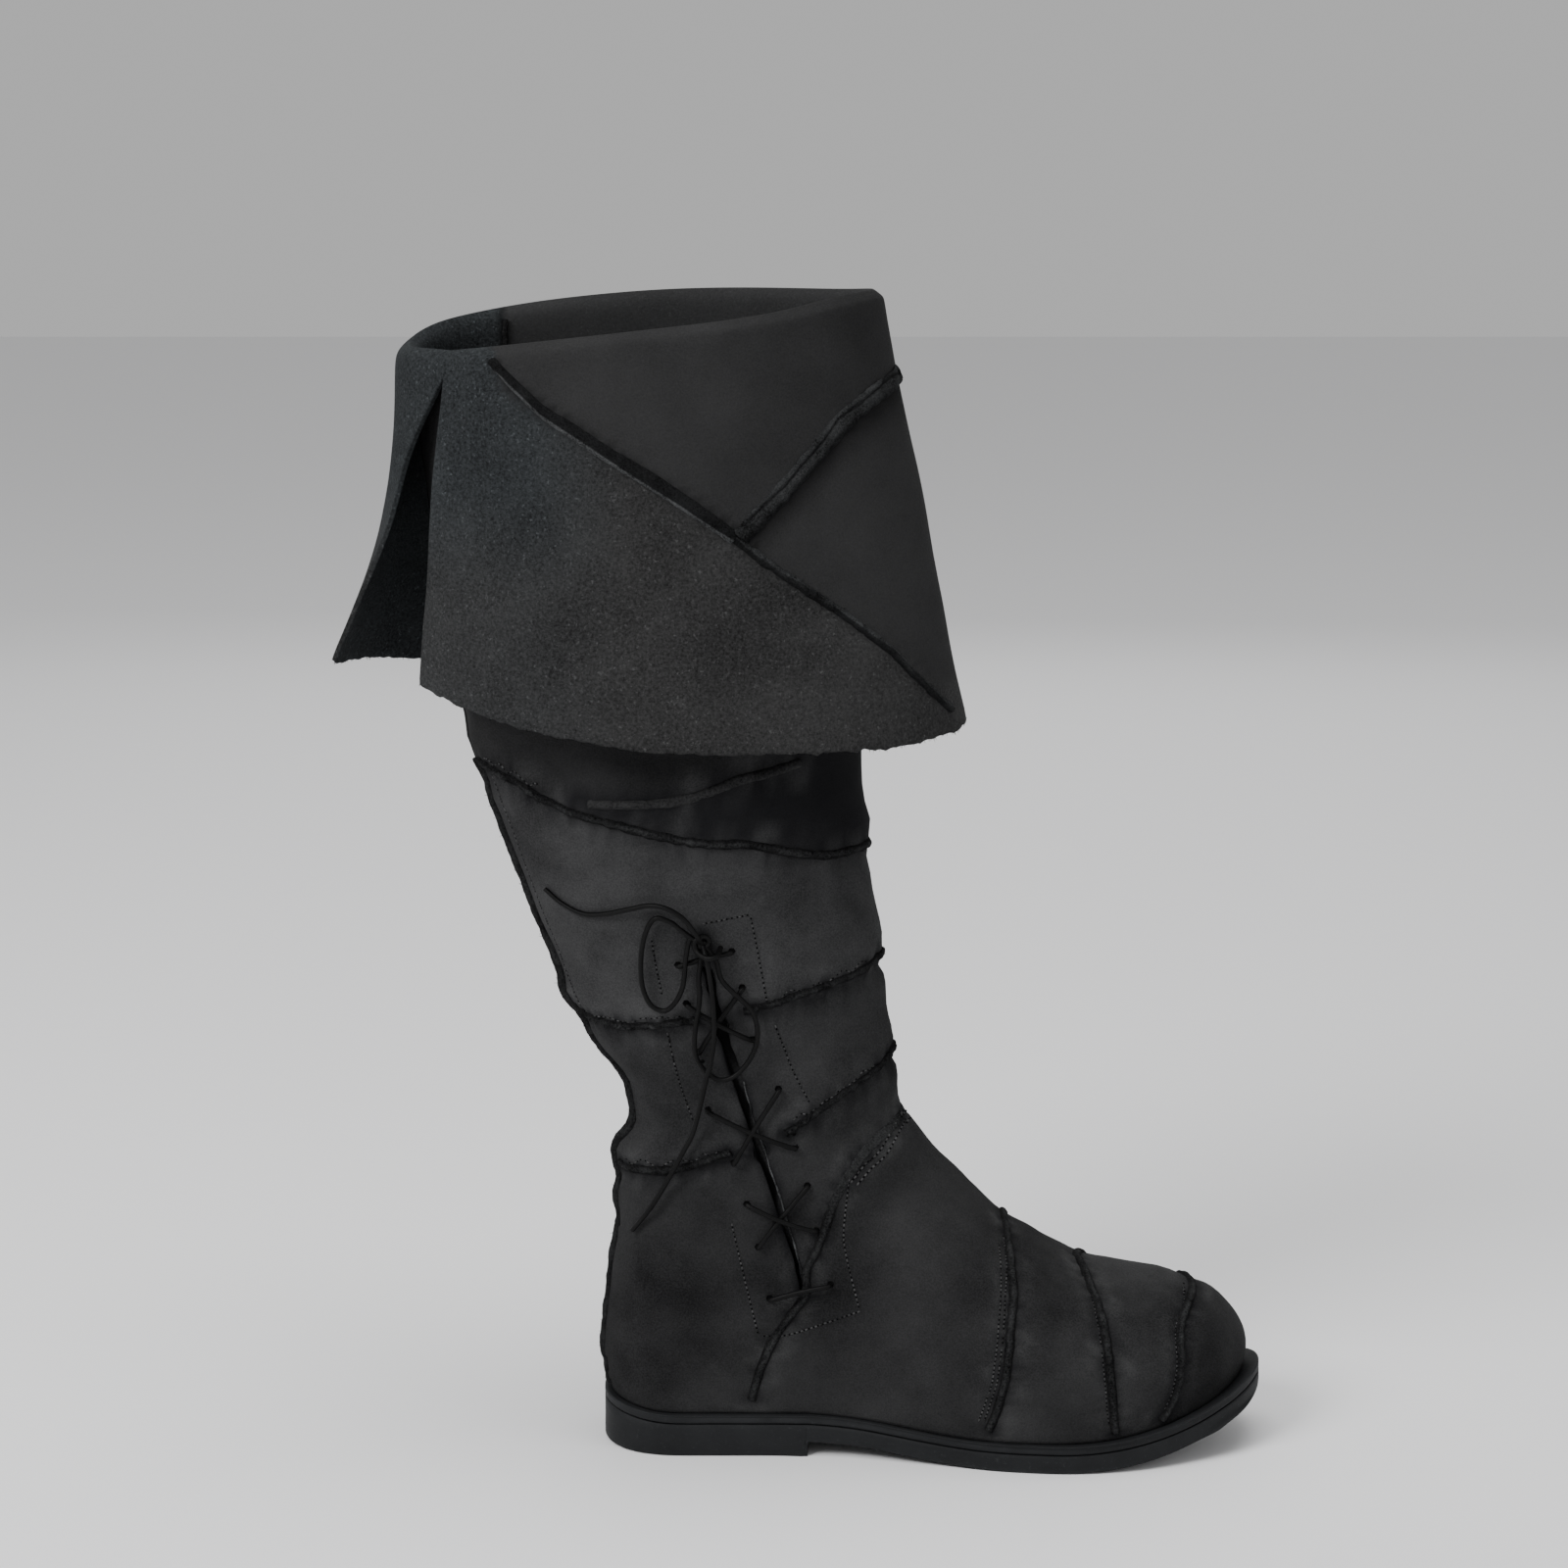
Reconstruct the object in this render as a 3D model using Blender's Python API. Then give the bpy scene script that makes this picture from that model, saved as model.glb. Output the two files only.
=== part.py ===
# A tall medieval boot of black suede: a right boot with a wide turned-down cuff, laced on its outer side.
# Metres, +Z up. The toe points to +X and the outer side of the foot to -Y.
# The origin is on the floor, under the centre of the heel.

import math

import bmesh
import bpy
import numpy as np
from mathutils import Vector
from mathutils.bvhtree import BVHTree

# Driving dimensions of the sole
SOLE_LENGTH = 0.300
BALL_WIDTH = 0.105
HEEL_WIDTH = 0.068
SOLE_THICKNESS = 0.0125
HEEL_HEIGHT = 0.0065
TOE_SPRING = 0.023
HEEL_CUP_RISE = 0.005
SOLE_MARGIN = 0.003
TOE_SWING = 0.003
RIM_BAND = 0.0035
GROOVE_DEPTH = 0.0012
GROOVE_WIDTH = 0.0010
EDGE_ROUND = 0.0015
INSOLE_THICKNESS = 0.0025
INSOLE_COLUMNS = 28
INSOLE_CLEARANCE = 0.0020
INSOLE_RING = 0.5
BREAST_STEP = 0.0006

# Driving dimensions of the upper
WALL = 0.0020
TOE_HEIGHT = 0.0625
ANKLE_HEIGHT = 0.1365
CUFF_HEIGHT = 0.5225
RIM_OVER_COLLAR = 0.0375
COLLAR_HEIGHT = CUFF_HEIGHT - RIM_OVER_COLLAR
SHAFT_DEPTH = 0.2000
SHAFT_WIDTH = 0.1180
ANKLE_WIDTH = 0.0760
FOOT_BULGE = 0.0040
RIDGE_SHIFT = 0.0050

# Clearances between pieces that touch on the real boot
GAP = 0.0003
SKIN_GAP = 0.0008

HEEL_REACH = 0.53
OUTER_SHARE = 0.548
HEEL_BACK = -HEEL_REACH * HEEL_WIDTH
BALL_OUTER = OUTER_SHARE * BALL_WIDTH
BALL_INNER = (1.0 - OUTER_SHARE) * BALL_WIDTH

# How the sole's half width grows from the heel's (0) to the ball's (1). Columns: place along the sole as a
# share of its length, growth of the outer side, growth of the inner side.
WAIST_GROWTH = (
    (0.120, 0.00, 0.00),
    (0.200, 0.00, -0.04),
    (0.307, 0.02, -0.19),
    (0.377, 0.13, -0.22),
    (0.493, 0.51, 0.15),
    (0.610, 0.89, 0.70),
    (0.700, 1.00, 1.00),
)
HEEL_ROUND_END = 0.120
BALL_PLACE = 0.700
HEEL_ROUNDNESS = 2.3
TOE_ROUNDNESS_OUTER = 1.95
TOE_ROUNDNESS_INNER = 2.30

# Places of the sole's profile, as shares of its length
BREAST_PLACE = 0.307
ARCH_END = 0.587
SPRING_START = 0.687
CUP_START = 0.115

# Stations along the sole: heel round, waist, forepart and toe round
SOLE_STATIONS = (6, 4, 8, 8)

# Sections of the foot, from the feather line up to the ankle. Columns: height of the back end as a share of
# ANKLE_HEIGHT, set of the back end behind the heel line as a share of SHAFT_DEPTH, reach of the front end
# as a share of SOLE_LENGTH, its height as a share of TOE_HEIGHT, and its further rise as a share of the way
# from TOE_HEIGHT to ANKLE_HEIGHT.
FOOT_SECTIONS = (
    (0.000, -0.015, 0.974, 0.000, 0.000),
    (0.045, -0.005, 0.980, 0.140, 0.000),
    (0.110, 0.000, 0.979, 0.300, 0.000),
    (0.170, 0.000, 0.969, 0.480, 0.000),
    (0.230, -0.004, 0.951, 0.660, 0.000),
    (0.290, -0.010, 0.920, 0.840, 0.000),
    (0.345, -0.015, 0.868, 0.965, 0.000),
    (0.400, -0.020, 0.803, 1.010, 0.000),
    (0.460, -0.025, 0.743, 1.000, 0.060),
    (0.520, -0.029, 0.690, 1.000, 0.150),
    (0.580, -0.032, 0.643, 1.000, 0.265),
    (0.640, -0.031, 0.605, 1.000, 0.350),
    (0.710, -0.027, 0.567, 1.000, 0.480),
    (0.785, -0.026, 0.523, 1.000, 0.660),
    (0.880, -0.040, 0.484, 1.000, 0.840),
)

# Sections of the leg, from the ankle up to the collar. Columns: height as a share of the way from
# ANKLE_HEIGHT to COLLAR_HEIGHT at the back and at the front, set of the back end behind the heel line, and
# depth from back to front, both as shares of SHAFT_DEPTH.
LEG_SECTIONS = (
    (0.000, 0.000, -0.058, 0.620),
    (0.055, 0.052, -0.032, 0.632),
    (0.110, 0.103, 0.040, 0.690),
    (0.162, 0.162, 0.090, 0.732),
    (0.220, 0.210, 0.122, 0.748),
    (0.296, 0.285, 0.172, 0.780),
    (0.393, 0.378, 0.228, 0.822),
    (0.485, 0.472, 0.286, 0.868),
    (0.612, 0.600, 0.333, 0.915),
    (0.754, 0.742, 0.365, 0.954),
    (0.882, 0.882, 0.390, 0.987),
    (0.940, 1.016, 0.405, 1.010),
)

# Half width of the leg. Columns: height as a share of the way from ANKLE_HEIGHT to COLLAR_HEIGHT, and
# growth from half of ANKLE_WIDTH (0) to half of SHAFT_WIDTH (1).
LEG_WIDTHS = (
    (-0.20, -0.05),
    (0.00, 0.00),
    (0.12, 0.16),
    (0.25, 0.42),
    (0.40, 0.68),
    (0.60, 0.86),
    (1.00, 1.00),
)
WIDEST_PLACE = 0.46
FRONT_ROUNDNESS = 1.90
BACK_ROUNDNESS = 2.30
FOOT_ROUNDNESS = 2.10
BODY_SHARE = 0.42
BLEND_LOW = 0.42
BLEND_HIGH = 0.92
ROOF_STEEPNESS = 6.0

# Rings above the tip of the toe from which the front of the leg is read, and the ring above which none
# follows the sole's top
FRONT_RINGS = 6
SETTLED_RING = 8.0

OUTER = -1
INNER = 1

# Columns of the upper's grid from the back to the front, on each side
SIDE_COLUMNS = 20

# The lacing slit on the outer side, from low to high. Columns: height as a share of the way from
# ANKLE_HEIGHT to COLLAR_HEIGHT, place as a share of SOLE_LENGTH, and opening as a share of SLIT_OPENING.
SLIT_LINE = (
    (-0.235, 0.306, 0.50),
    (-0.130, 0.273, 0.90),
    (-0.020, 0.233, 1.00),
    (0.120, 0.184, 1.10),
    (0.250, 0.152, 0.60),
)
SLIT_COLUMN = 8
SLIT_OPENING = 0.0040

# The gusset behind the slit
GUSSET_THICKNESS = 0.0015
GUSSET_HALF_WIDTH = 0.020
GUSSET_MARGIN = 0.030
GUSSET_CLEARANCE = 0.0009
GUSSET_ROWS = 10
GUSSET_COLUMNS = 6

# Raised seams
SEAM_WIDTH = 0.0042
SEAM_HEIGHT = 0.0012
BACK_SEAM_WIDTH = 0.0050
SEAM_SHOULDER = 0.25
SEATING_ROUNDS = 5
SHARP_ANGLE = 40.0

# Steps for reading a surface's slope: degrees of turn or girth, share of a height or length, and share of a
# drop
TURN_STEP = 1.0
SHARE_STEP = 0.004
DROP_STEP = 0.01

# Seams round the leg. Columns: turn in degrees from the back (0) along the outer side to the front (180),
# and height as a share of the way from ANKLE_HEIGHT to COLLAR_HEIGHT.
CALF_SEAM = (
    (12, 0.461), (34, 0.450), (56, 0.414), (74, 0.392),
    (95, 0.372), (112, 0.367), (139, 0.347), (180, 0.347),
)
CALF_FOLD = ((64, 0.424), (81, 0.424), (95, 0.431), (112, 0.453), (133, 0.469))
ANKLE_SEAM_BACK = ((13, 0.143), (28, 0.132), (53, 0.128), (72, 0.136), (79, 0.140))
ANKLE_SEAM_FRONT = ((96, 0.151), (107, 0.159), (132, 0.179), (180, 0.202))
HEEL_SEAM_BACK = ((15, -0.070), (25, -0.072), (51, -0.064), (70, -0.042), (74, -0.036))
HEEL_SEAM_FRONT = ((97, -0.012), (107, 0.003), (131, 0.040), (164, 0.072), (180, 0.076))
BACK_SEAM = ((0, -0.365), (0, 0.96))

VAMP_SEAM = ((63, -0.372), (74, -0.238), (94, -0.146), (113, -0.072), (137, -0.026), (180, -0.005))

# Seams round the foot. Columns: place as a share of SOLE_LENGTH, and girth in degrees from the outer
# feather line (0) to the ridge (90).
INSTEP_SEAM = ((0.578, 3), (0.590, 9), (0.602, 20), (0.608, 33), (0.614, 51), (0.612, 68), (0.608, 90))
BALL_SEAM = ((0.767, 3), (0.758, 27), (0.752, 44), (0.743, 60), (0.722, 90))
TOE_CAP_SEAM = ((0.838, 3), (0.857, 12), (0.865, 26), (0.868, 51), (0.890, 75), (0.897, 90))

# Driving dimensions of the cuff
CUFF_WALL = 0.0025
CUFF_DROP = 0.1910
CUFF_FLARE = 0.0360
CUFF_STAND_OFF = 0.0045
CUFF_FOLD = 0.0100
CUFF_COLUMNS = 28
CUFF_FLAP_ROWS = 5
CUFF_SLIT_TURN = 38.0
CUFF_SLIT_LEAN = 10.0
CUFF_SLIT_GAP = 0.4
CUFF_SLIT_SPREAD = 38.0
CUFF_SLIT_EASE = 0.7
COLLAR_TOP = 0.96
COLLAR_CLEARANCE = 0.0009

# The cuff round the leg. Columns: turn in degrees from the back along the outer side, height of the rim as
# a share of CUFF_HEIGHT, length of the flap as a share of CUFF_DROP, flare of its hem as a share of
# CUFF_FLARE, and how late it flares (1 evenly from the rim, 2 mostly near the hem).
CUFF_SECTIONS = (
    (0, 0.956, 0.728, 0.82, 2.0),
    (28, 0.955, 0.744, 0.10, 1.0),
    (38, 0.955, 0.765, 0.12, 1.0),
    (60, 0.962, 0.833, 0.20, 1.0),
    (90, 0.973, 0.909, 0.34, 1.0),
    (120, 0.984, 0.953, 0.50, 1.0),
    (150, 0.998, 0.994, 0.74, 1.0),
    (180, 1.000, 0.982, 1.00, 1.0),
    (210, 0.997, 0.974, 0.74, 1.0),
    (270, 0.992, 0.938, 0.40, 1.2),
    (330, 0.970, 0.797, 0.62, 1.8),
    (360, 0.956, 0.728, 0.86, 2.1),
    (388, 0.955, 0.725, 0.86, 2.1),
    (398, 0.955, 0.720, 0.86, 2.1),
)

# The fold at the rim. Columns: way from the inside of the collar (0) to the flap (1), and depth below the
# rim as a share of CUFF_FOLD.
FOLD_SECTIONS = (
    (0.00, 3.60),
    (0.00, 2.00),
    (0.02, 0.90),
    (0.18, 0.24),
    (0.50, 0.00),
    (0.82, 0.24),
    (1.00, 0.90),
)

# Seams on the cuff. Columns: turn in degrees, and drop from the rim (0) to the hem (1).
CUFF_ROLLED_SEAM = ((177, 0.142), (155, 0.182), (139, 0.252), (125, 0.360), (114.5, 0.457))
CUFF_FLAP_SEAM = ((57, 0.030), (70, 0.142), (83, 0.246), (94, 0.329), (106, 0.424), (110, 0.456))
CUFF_FRAYED_SEAM = ((114, 0.496), (121, 0.549), (131, 0.619), (141, 0.692), (153, 0.791), (163, 0.872))

# The lace. Columns of a bar: place as a share of SOLE_LENGTH and height as a share of the way from
# ANKLE_HEIGHT to COLLAR_HEIGHT, for its back end and its front end, and lift off the leather as a share of
# CORD_DIAMETER.
CORD_DIAMETER = 0.0024
CORD_SIDES = 8
CORD_STEP = 3.3
CORD_LEAST_STEPS = 8
LACE_BAR_POINTS = 5
LACE_TOP_BAR = ((0.118, 0.214, 0.197, 0.232, 0.88),)
LACE_CROSSING_UPPER = ((0.148, 0.098, 0.212, 0.184, 0.88), (0.130, 0.163, 0.228, 0.114, 0.88))
LACE_CROSSING_MIDDLE = ((0.199, -0.050, 0.265, 0.048, 0.88), (0.161, 0.019, 0.290, -0.031, 0.88))
LACE_CROSSING_LOWER = ((0.235, -0.163, 0.308, -0.081, 0.88), (0.218, -0.105, 0.322, -0.141, 0.88))
LACE_BOTTOM_BAR = ((0.252, -0.232, 0.343, -0.212, 1.40),)

# The bow. Columns: place as a share of SOLE_LENGTH, height as a share of the way from ANKLE_HEIGHT to
# COLLAR_HEIGHT, and lift off the leather as a share of CORD_DIAMETER.
BOW_KNOT = (
    (0.1600, 0.2440, 0.66),
    (0.1545, 0.2500, 0.86),
    (0.1490, 0.2440, 1.06),
    (0.1545, 0.2375, 1.30),
    (0.1600, 0.2430, 1.90),
)
BOW_LOOP_BACK = (
    (0.138, 0.254, 2.0),
    (0.131, 0.230, 2.0),
    (0.126, 0.191, 1.9),
    (0.114, 0.167, 1.8),
    (0.098, 0.157, 1.7),
    (0.079, 0.166, 1.6),
    (0.068, 0.193, 1.6),
    (0.067, 0.232, 1.7),
    (0.075, 0.265, 1.8),
    (0.089, 0.281, 2.0),
    (0.109, 0.276, 2.2),
    (0.125, 0.265, 2.3),
)
BOW_LOOP_FRONT = (
    (0.171, 0.228, 2.3),
    (0.180, 0.201, 2.2),
    (0.195, 0.185, 2.2),
    (0.213, 0.169, 2.2),
    (0.226, 0.153, 2.2),
    (0.232, 0.129, 2.2),
    (0.229, 0.107, 2.1),
    (0.217, 0.086, 2.0),
    (0.199, 0.070, 2.0),
    (0.180, 0.066, 2.0),
    (0.161, 0.076, 2.1),
    (0.148, 0.093, 2.2),
    (0.143, 0.113, 2.2),
    (0.145, 0.141, 2.2),
    (0.149, 0.162, 2.2),
    (0.151, 0.183, 2.2),
    (0.149, 0.203, 2.3),
)
LACE_END_BACK = (
    (0.145, 0.261, 2.6),
    (0.127, 0.283, 3.2),
    (0.104, 0.295, 3.0),
    (0.080, 0.298, 2.4),
    (0.050, 0.291, 1.6),
    (0.011, 0.281, 0.9),
    (-0.020, 0.279, 0.68),
    (-0.050, 0.290, 0.68),
    (-0.074, 0.306, 0.68),
)
LACE_END_FRONT = (
    (0.159, 0.230, 3.4),
    (0.164, 0.205, 3.4),
    (0.169, 0.173, 3.4),
    (0.171, 0.132, 3.4),
    (0.168, 0.098, 3.4),
    (0.161, 0.068, 3.4),
    (0.145, -0.002, 2.3),
    (0.128, -0.035, 2.1),
    (0.105, -0.076, 2.0),
    (0.081, -0.114, 1.8),
    (0.054, -0.149, 1.4),
)


def smooth(value, low, high):
    """0 below low, 1 above high, and a smooth step between."""
    t = min(max((value - low) / (high - low), 0.0), 1.0)
    return t * t * (3.0 - 2.0 * t)


def quarter_round(depth, roundness):
    """Rises from 0 at depth 0 to 1 at depth 1 like a quarter of a superellipse."""
    rest = 1.0 - min(max(depth, 0.0), 1.0)
    return (1.0 - rest**roundness) ** (1.0 / roundness)


def curve_through(rows, column, place):
    """A smooth curve through the rows of a table: column against the rows' first column."""
    places = [row[0] for row in rows]
    values = [row[column] for row in rows]
    place = min(max(place, places[0]), places[-1])
    i = min(max(int(np.searchsorted(places, place)) - 1, 0), len(places) - 2)

    def slope(j):
        a, b = max(j - 1, 0), min(j + 1, len(places) - 1)
        return (values[b] - values[a]) / (places[b] - places[a])

    span = places[i + 1] - places[i]
    t = (place - places[i]) / span
    return (
        (2 * t**3 - 3 * t**2 + 1) * values[i]
        + (t**3 - 2 * t**2 + t) * span * slope(i)
        + (3 * t**2 - 2 * t**3) * values[i + 1]
        + (t**3 - t**2) * span * slope(i + 1)
    )


# The sole's outline and profile

def along(share):
    """x of a place along the sole."""
    return HEEL_BACK + share * SOLE_LENGTH


def share_of(x):
    return (x - HEEL_BACK) / SOLE_LENGTH


def end_round(share, side):
    """How far the outline has opened at a place along the foot, from 0 at either end to 1."""
    if share < HEEL_ROUND_END:
        return quarter_round(share / HEEL_ROUND_END, HEEL_ROUNDNESS)
    if share > BALL_PLACE:
        roundness = TOE_ROUNDNESS_OUTER if side == OUTER else TOE_ROUNDNESS_INNER
        return quarter_round((1.0 - share) / (1.0 - BALL_PLACE), roundness)
    return 1.0


def plateau_width(share, side):
    """Half width of the sole before its ends are rounded."""
    column, ball = (1, BALL_OUTER) if side == OUTER else (2, BALL_INNER)
    growth = curve_through(WAIST_GROWTH, column, share)
    return HEEL_WIDTH / 2 + (ball - HEEL_WIDTH / 2) * growth


def centre_line(share):
    """Sideways place of the middle of the outline: the toe swings towards the inner side."""
    return TOE_SWING * max(share - BALL_PLACE, 0.0) / (1.0 - BALL_PLACE)


def outline_y(share, side, inset=0.0):
    """y of the sole's edge at a place along it, drawn in by inset."""
    opened = end_round(share, side)
    middle = centre_line(share)
    return middle + (side * (plateau_width(share, side) - inset) - middle) * opened


def sole_line(x):
    """Height of the sole's underside beside the heel block: arch, flat ball and toe spring."""
    share = share_of(x)
    arch = HEEL_HEIGHT * (1.0 - smooth(share, BREAST_PLACE, ARCH_END))
    spring = max(share - SPRING_START, 0.0) / (1.0 - SPRING_START)
    return arch + TOE_SPRING * spring**2


def sole_top(x):
    """Height of the sole's upper face."""
    cup = max(CUP_START - share_of(x), 0.0) / CUP_START
    return sole_line(x) + SOLE_THICKNESS + HEEL_CUP_RISE * cup**2


# The upper's outer surface

def seat():
    """Height of the heel seat, from which the leg is measured."""
    return HEEL_HEIGHT + SOLE_THICKNESS


def section_ends():
    """Back and front end of each ring of the upper, as (x, z), from the feather line to the collar."""
    ends = []
    for back_up, back_set, reach, toe_up, rise in FOOT_SECTIONS:
        back_x = HEEL_BACK - back_set * SHAFT_DEPTH
        back_z = sole_top(HEEL_BACK) + GAP + back_up * (ANKLE_HEIGHT - HEEL_CUP_RISE)
        front_x = along(reach)
        base = sole_top(front_x) * (1.0 - toe_up) + SOLE_THICKNESS * toe_up
        front_z = base + GAP + toe_up * TOE_HEIGHT + rise * (ANKLE_HEIGHT - TOE_HEIGHT + HEEL_HEIGHT)
        ends.append(((back_x, back_z), (front_x, front_z)))
    for back_up, front_up, back_set, depth in LEG_SECTIONS:
        back_x = HEEL_BACK - back_set * SHAFT_DEPTH
        climb = COLLAR_HEIGHT - ANKLE_HEIGHT
        back_z = seat() + ANKLE_HEIGHT + back_up * climb
        front_z = seat() + ANKLE_HEIGHT + front_up * climb
        ends.append(((back_x, back_z), (back_x + depth * SHAFT_DEPTH, front_z)))
    return ends


ENDS = section_ends()
RINGS = len(ENDS)
BACK_Z = [back[1] for back, front in ENDS]
BACK_X = [back[0] for back, front in ENDS]
FRONT_Z = [front[1] for back, front in ENDS]
FRONT_X = [front[0] for back, front in ENDS]
TIP_RING = int(np.argmax(FRONT_X))
ANKLE_RING = len(FOOT_SECTIONS)


def back_x_at(z):
    return float(np.interp(z, BACK_Z, BACK_X))


def front_x_at(z):
    """x of the front of the leg or of the instep at a height, above the toe."""
    first = TIP_RING + FRONT_RINGS
    return float(np.interp(z, FRONT_Z[first:], FRONT_X[first:]))


def tip_x_at(z):
    return float(np.interp(z, FRONT_Z[: TIP_RING + 1], FRONT_X[: TIP_RING + 1]))


def roof_z_at(x):
    """Height of the upper's ridge over a place along the foot, rising steeply under the leg."""
    xs = FRONT_X[TIP_RING : ANKLE_RING + 1][::-1]
    zs = FRONT_Z[TIP_RING : ANKLE_RING + 1][::-1]
    if x < xs[0]:
        return zs[0] + (xs[0] - x) * ROOF_STEEPNESS
    return float(np.interp(x, xs, zs))


def foot_y(x, z, side):
    """y of the foot part of the upper: the sole's outline, bulged, and rounded over to the ridge."""
    back = back_x_at(z)
    share = min(max((x - back) / (tip_x_at(z) - back), 0.0), 1.0)
    floor = sole_top(x)
    roof = roof_z_at(x)
    body = floor + BODY_SHARE * (min(roof, seat() + ANKLE_HEIGHT) - floor)
    bulge = FOOT_BULGE * smooth(z, floor, body)
    opened = end_round(share, side)
    middle = centre_line(share)
    edge = middle + (side * (plateau_width(share, side) - SOLE_MARGIN + bulge) - middle) * opened
    over = quarter_round((roof - z) / (roof - body), FOOT_ROUNDNESS)
    ridge = RIDGE_SHIFT * smooth(share, HEEL_ROUND_END, BALL_PLACE)
    return ridge + (edge - ridge) * over


def leg_y(x, z, side):
    """y of the leg part of the upper: an egg-shaped section, more pointed at the front."""
    back, front = back_x_at(z), front_x_at(z)
    widest = back + WIDEST_PLACE * (front - back)
    up = (z - seat() - ANKLE_HEIGHT) / (COLLAR_HEIGHT - ANKLE_HEIGHT)
    growth = curve_through(LEG_WIDTHS, 1, up)
    width = ANKLE_WIDTH / 2 + (SHAFT_WIDTH - ANKLE_WIDTH) / 2 * growth
    if x > widest:
        return side * width * quarter_round((front - x) / (front - widest), FRONT_ROUNDNESS)
    return side * width * quarter_round((x - back) / (widest - back), BACK_ROUNDNESS)


def surface_y(x, z, side):
    """y of the upper's outer surface over a point of the side view."""
    up = (z - seat()) / ANKLE_HEIGHT
    leg = smooth(up, BLEND_LOW, BLEND_HIGH)
    y = 0.0
    if leg < 1.0:
        y += (1.0 - leg) * foot_y(x, z, side)
    if leg > 0.0:
        y += leg * leg_y(x, z, side)
    return y


def ring_xz(ring, place):
    """(x, z) of a ring at a place from its back (0) to its front (1). Low rings follow the sole's top."""
    i = min(int(ring), RINGS - 2)
    t = ring - i
    back = [ENDS[i][0][k] * (1 - t) + ENDS[i + 1][0][k] * t for k in (0, 1)]
    front = [ENDS[i][1][k] * (1 - t) + ENDS[i + 1][1][k] * t for k in (0, 1)]
    x = back[0] + (front[0] - back[0]) * place
    z = back[1] + (front[1] - back[1]) * place
    feather_z = sole_top(x) + GAP
    lowest = ENDS[0][0][1] * (1 - place) + ENDS[0][1][1] * place
    settle = (1.0 - smooth(ring, 0.0, SETTLED_RING)) * (1.0 if 0 < place < 1 else 0.0)
    return x, z + (feather_z - lowest) * settle


def ring_point(ring, place, side):
    x, z = ring_xz(ring, place)
    return Vector((x, surface_y(x, z, side), z))


def leg_height(up):
    """z of a height above the ankle (0) to the collar (1)."""
    return seat() + ANKLE_HEIGHT + up * (COLLAR_HEIGHT - ANKLE_HEIGHT)


def slit_x(z):
    up = (z - leg_height(0.0)) / (leg_height(1.0) - leg_height(0.0))
    return along(curve_through(SLIT_LINE, 1, up))


def slit_opening(z):
    up = (z - leg_height(0.0)) / (leg_height(1.0) - leg_height(0.0))
    return SLIT_OPENING * curve_through(SLIT_LINE, 2, up)


def slit_place(ring):
    """Place on a ring where it crosses the line of the slit, and the height there."""
    low, high = 0.02, 0.98
    for _ in range(40):
        middle = (low + high) / 2
        x, z = ring_xz(ring, middle)
        if x < slit_x(z):
            low = middle
        else:
            high = middle
    return low, ring_xz(ring, low)[1]


def column_places(ring):
    """Places of the grid's columns from back to front, with two columns on the edges of the slit."""
    (back_x, back_z), (front_x, front_z) = ENDS[ring]
    length = math.hypot(front_x - back_x, front_z - back_z)
    slit, slit_z = slit_place(ring)
    half = slit_opening(slit_z) / 2 / length
    first = math.acos(1 - 2 * (slit - half))
    last = math.acos(1 - 2 * (slit + half))
    angles = [first * j / SLIT_COLUMN for j in range(SLIT_COLUMN + 1)]
    beyond = SIDE_COLUMNS - SLIT_COLUMN - 1
    angles += [last + (math.pi - last) * j / beyond for j in range(beyond + 1)]
    return [(1 - math.cos(angle)) / 2 for angle in angles]


def leg_spot(turn, up):
    """A point of the leg's outer surface. turn is in degrees from the back along the outer side."""
    z = leg_height(up)
    back, front = back_x_at(z), front_x_at(z)
    x = back + (front - back) * (1 - math.cos(math.radians(turn))) / 2
    side = OUTER if turn % 360 <= 180 else INNER
    return Vector((x, surface_y(x, z, side), z))


def foot_spot(share, girth):
    """A point of the foot's outer surface. girth is in degrees from the outer feather line over the ridge."""
    x = along(share)
    floor, roof = sole_top(x) + GAP, roof_z_at(x)
    z = floor + (roof - floor) * math.sin(math.radians(girth))
    side = OUTER if girth <= 90 else INNER
    return Vector((x, surface_y(x, z, side), z))


def side_spot(share, up):
    """A point of the outer side over a point of the side view."""
    x, z = along(share), leg_height(up)
    return Vector((x, surface_y(x, z, OUTER), z))


def normal_of(spot, u, v, step_u, step_v):
    """Unit normal of a surface at spot(u, v), on the side from which u runs right where v runs up."""
    du = spot(u + step_u, v) - spot(u - step_u, v)
    dv = spot(u, v + step_v) - spot(u, v - step_v)
    return du.cross(dv).normalized()


# Making objects

def clear_scene():
    for obj in list(bpy.data.objects):
        bpy.data.objects.remove(obj, do_unlink=True)


def material(name, colour, roughness):
    made = bpy.data.materials.new(name)
    made.use_nodes = True
    shader = made.node_tree.nodes["Principled BSDF"]
    shader.inputs["Base Color"].default_value = (*colour, 1.0)
    shader.inputs["Roughness"].default_value = roughness
    return made


def add_object(name, points, faces, finish):
    mesh = bpy.data.meshes.new(name)
    mesh.from_pydata([tuple(p) for p in points], [], faces)
    mesh.validate()
    shaped = bmesh.new()
    shaped.from_mesh(mesh)
    bmesh.ops.remove_doubles(shaped, verts=shaped.verts, dist=1e-6)
    bmesh.ops.recalc_face_normals(shaped, faces=shaped.faces)
    shaped.to_mesh(mesh)
    shaped.free()
    mesh.materials.append(finish)
    mesh.shade_smooth()
    mesh.set_sharp_from_angle(angle=math.radians(SHARP_ANGLE))
    obj = bpy.data.objects.new(name, mesh)
    bpy.context.scene.collection.objects.link(obj)
    return obj


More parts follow.
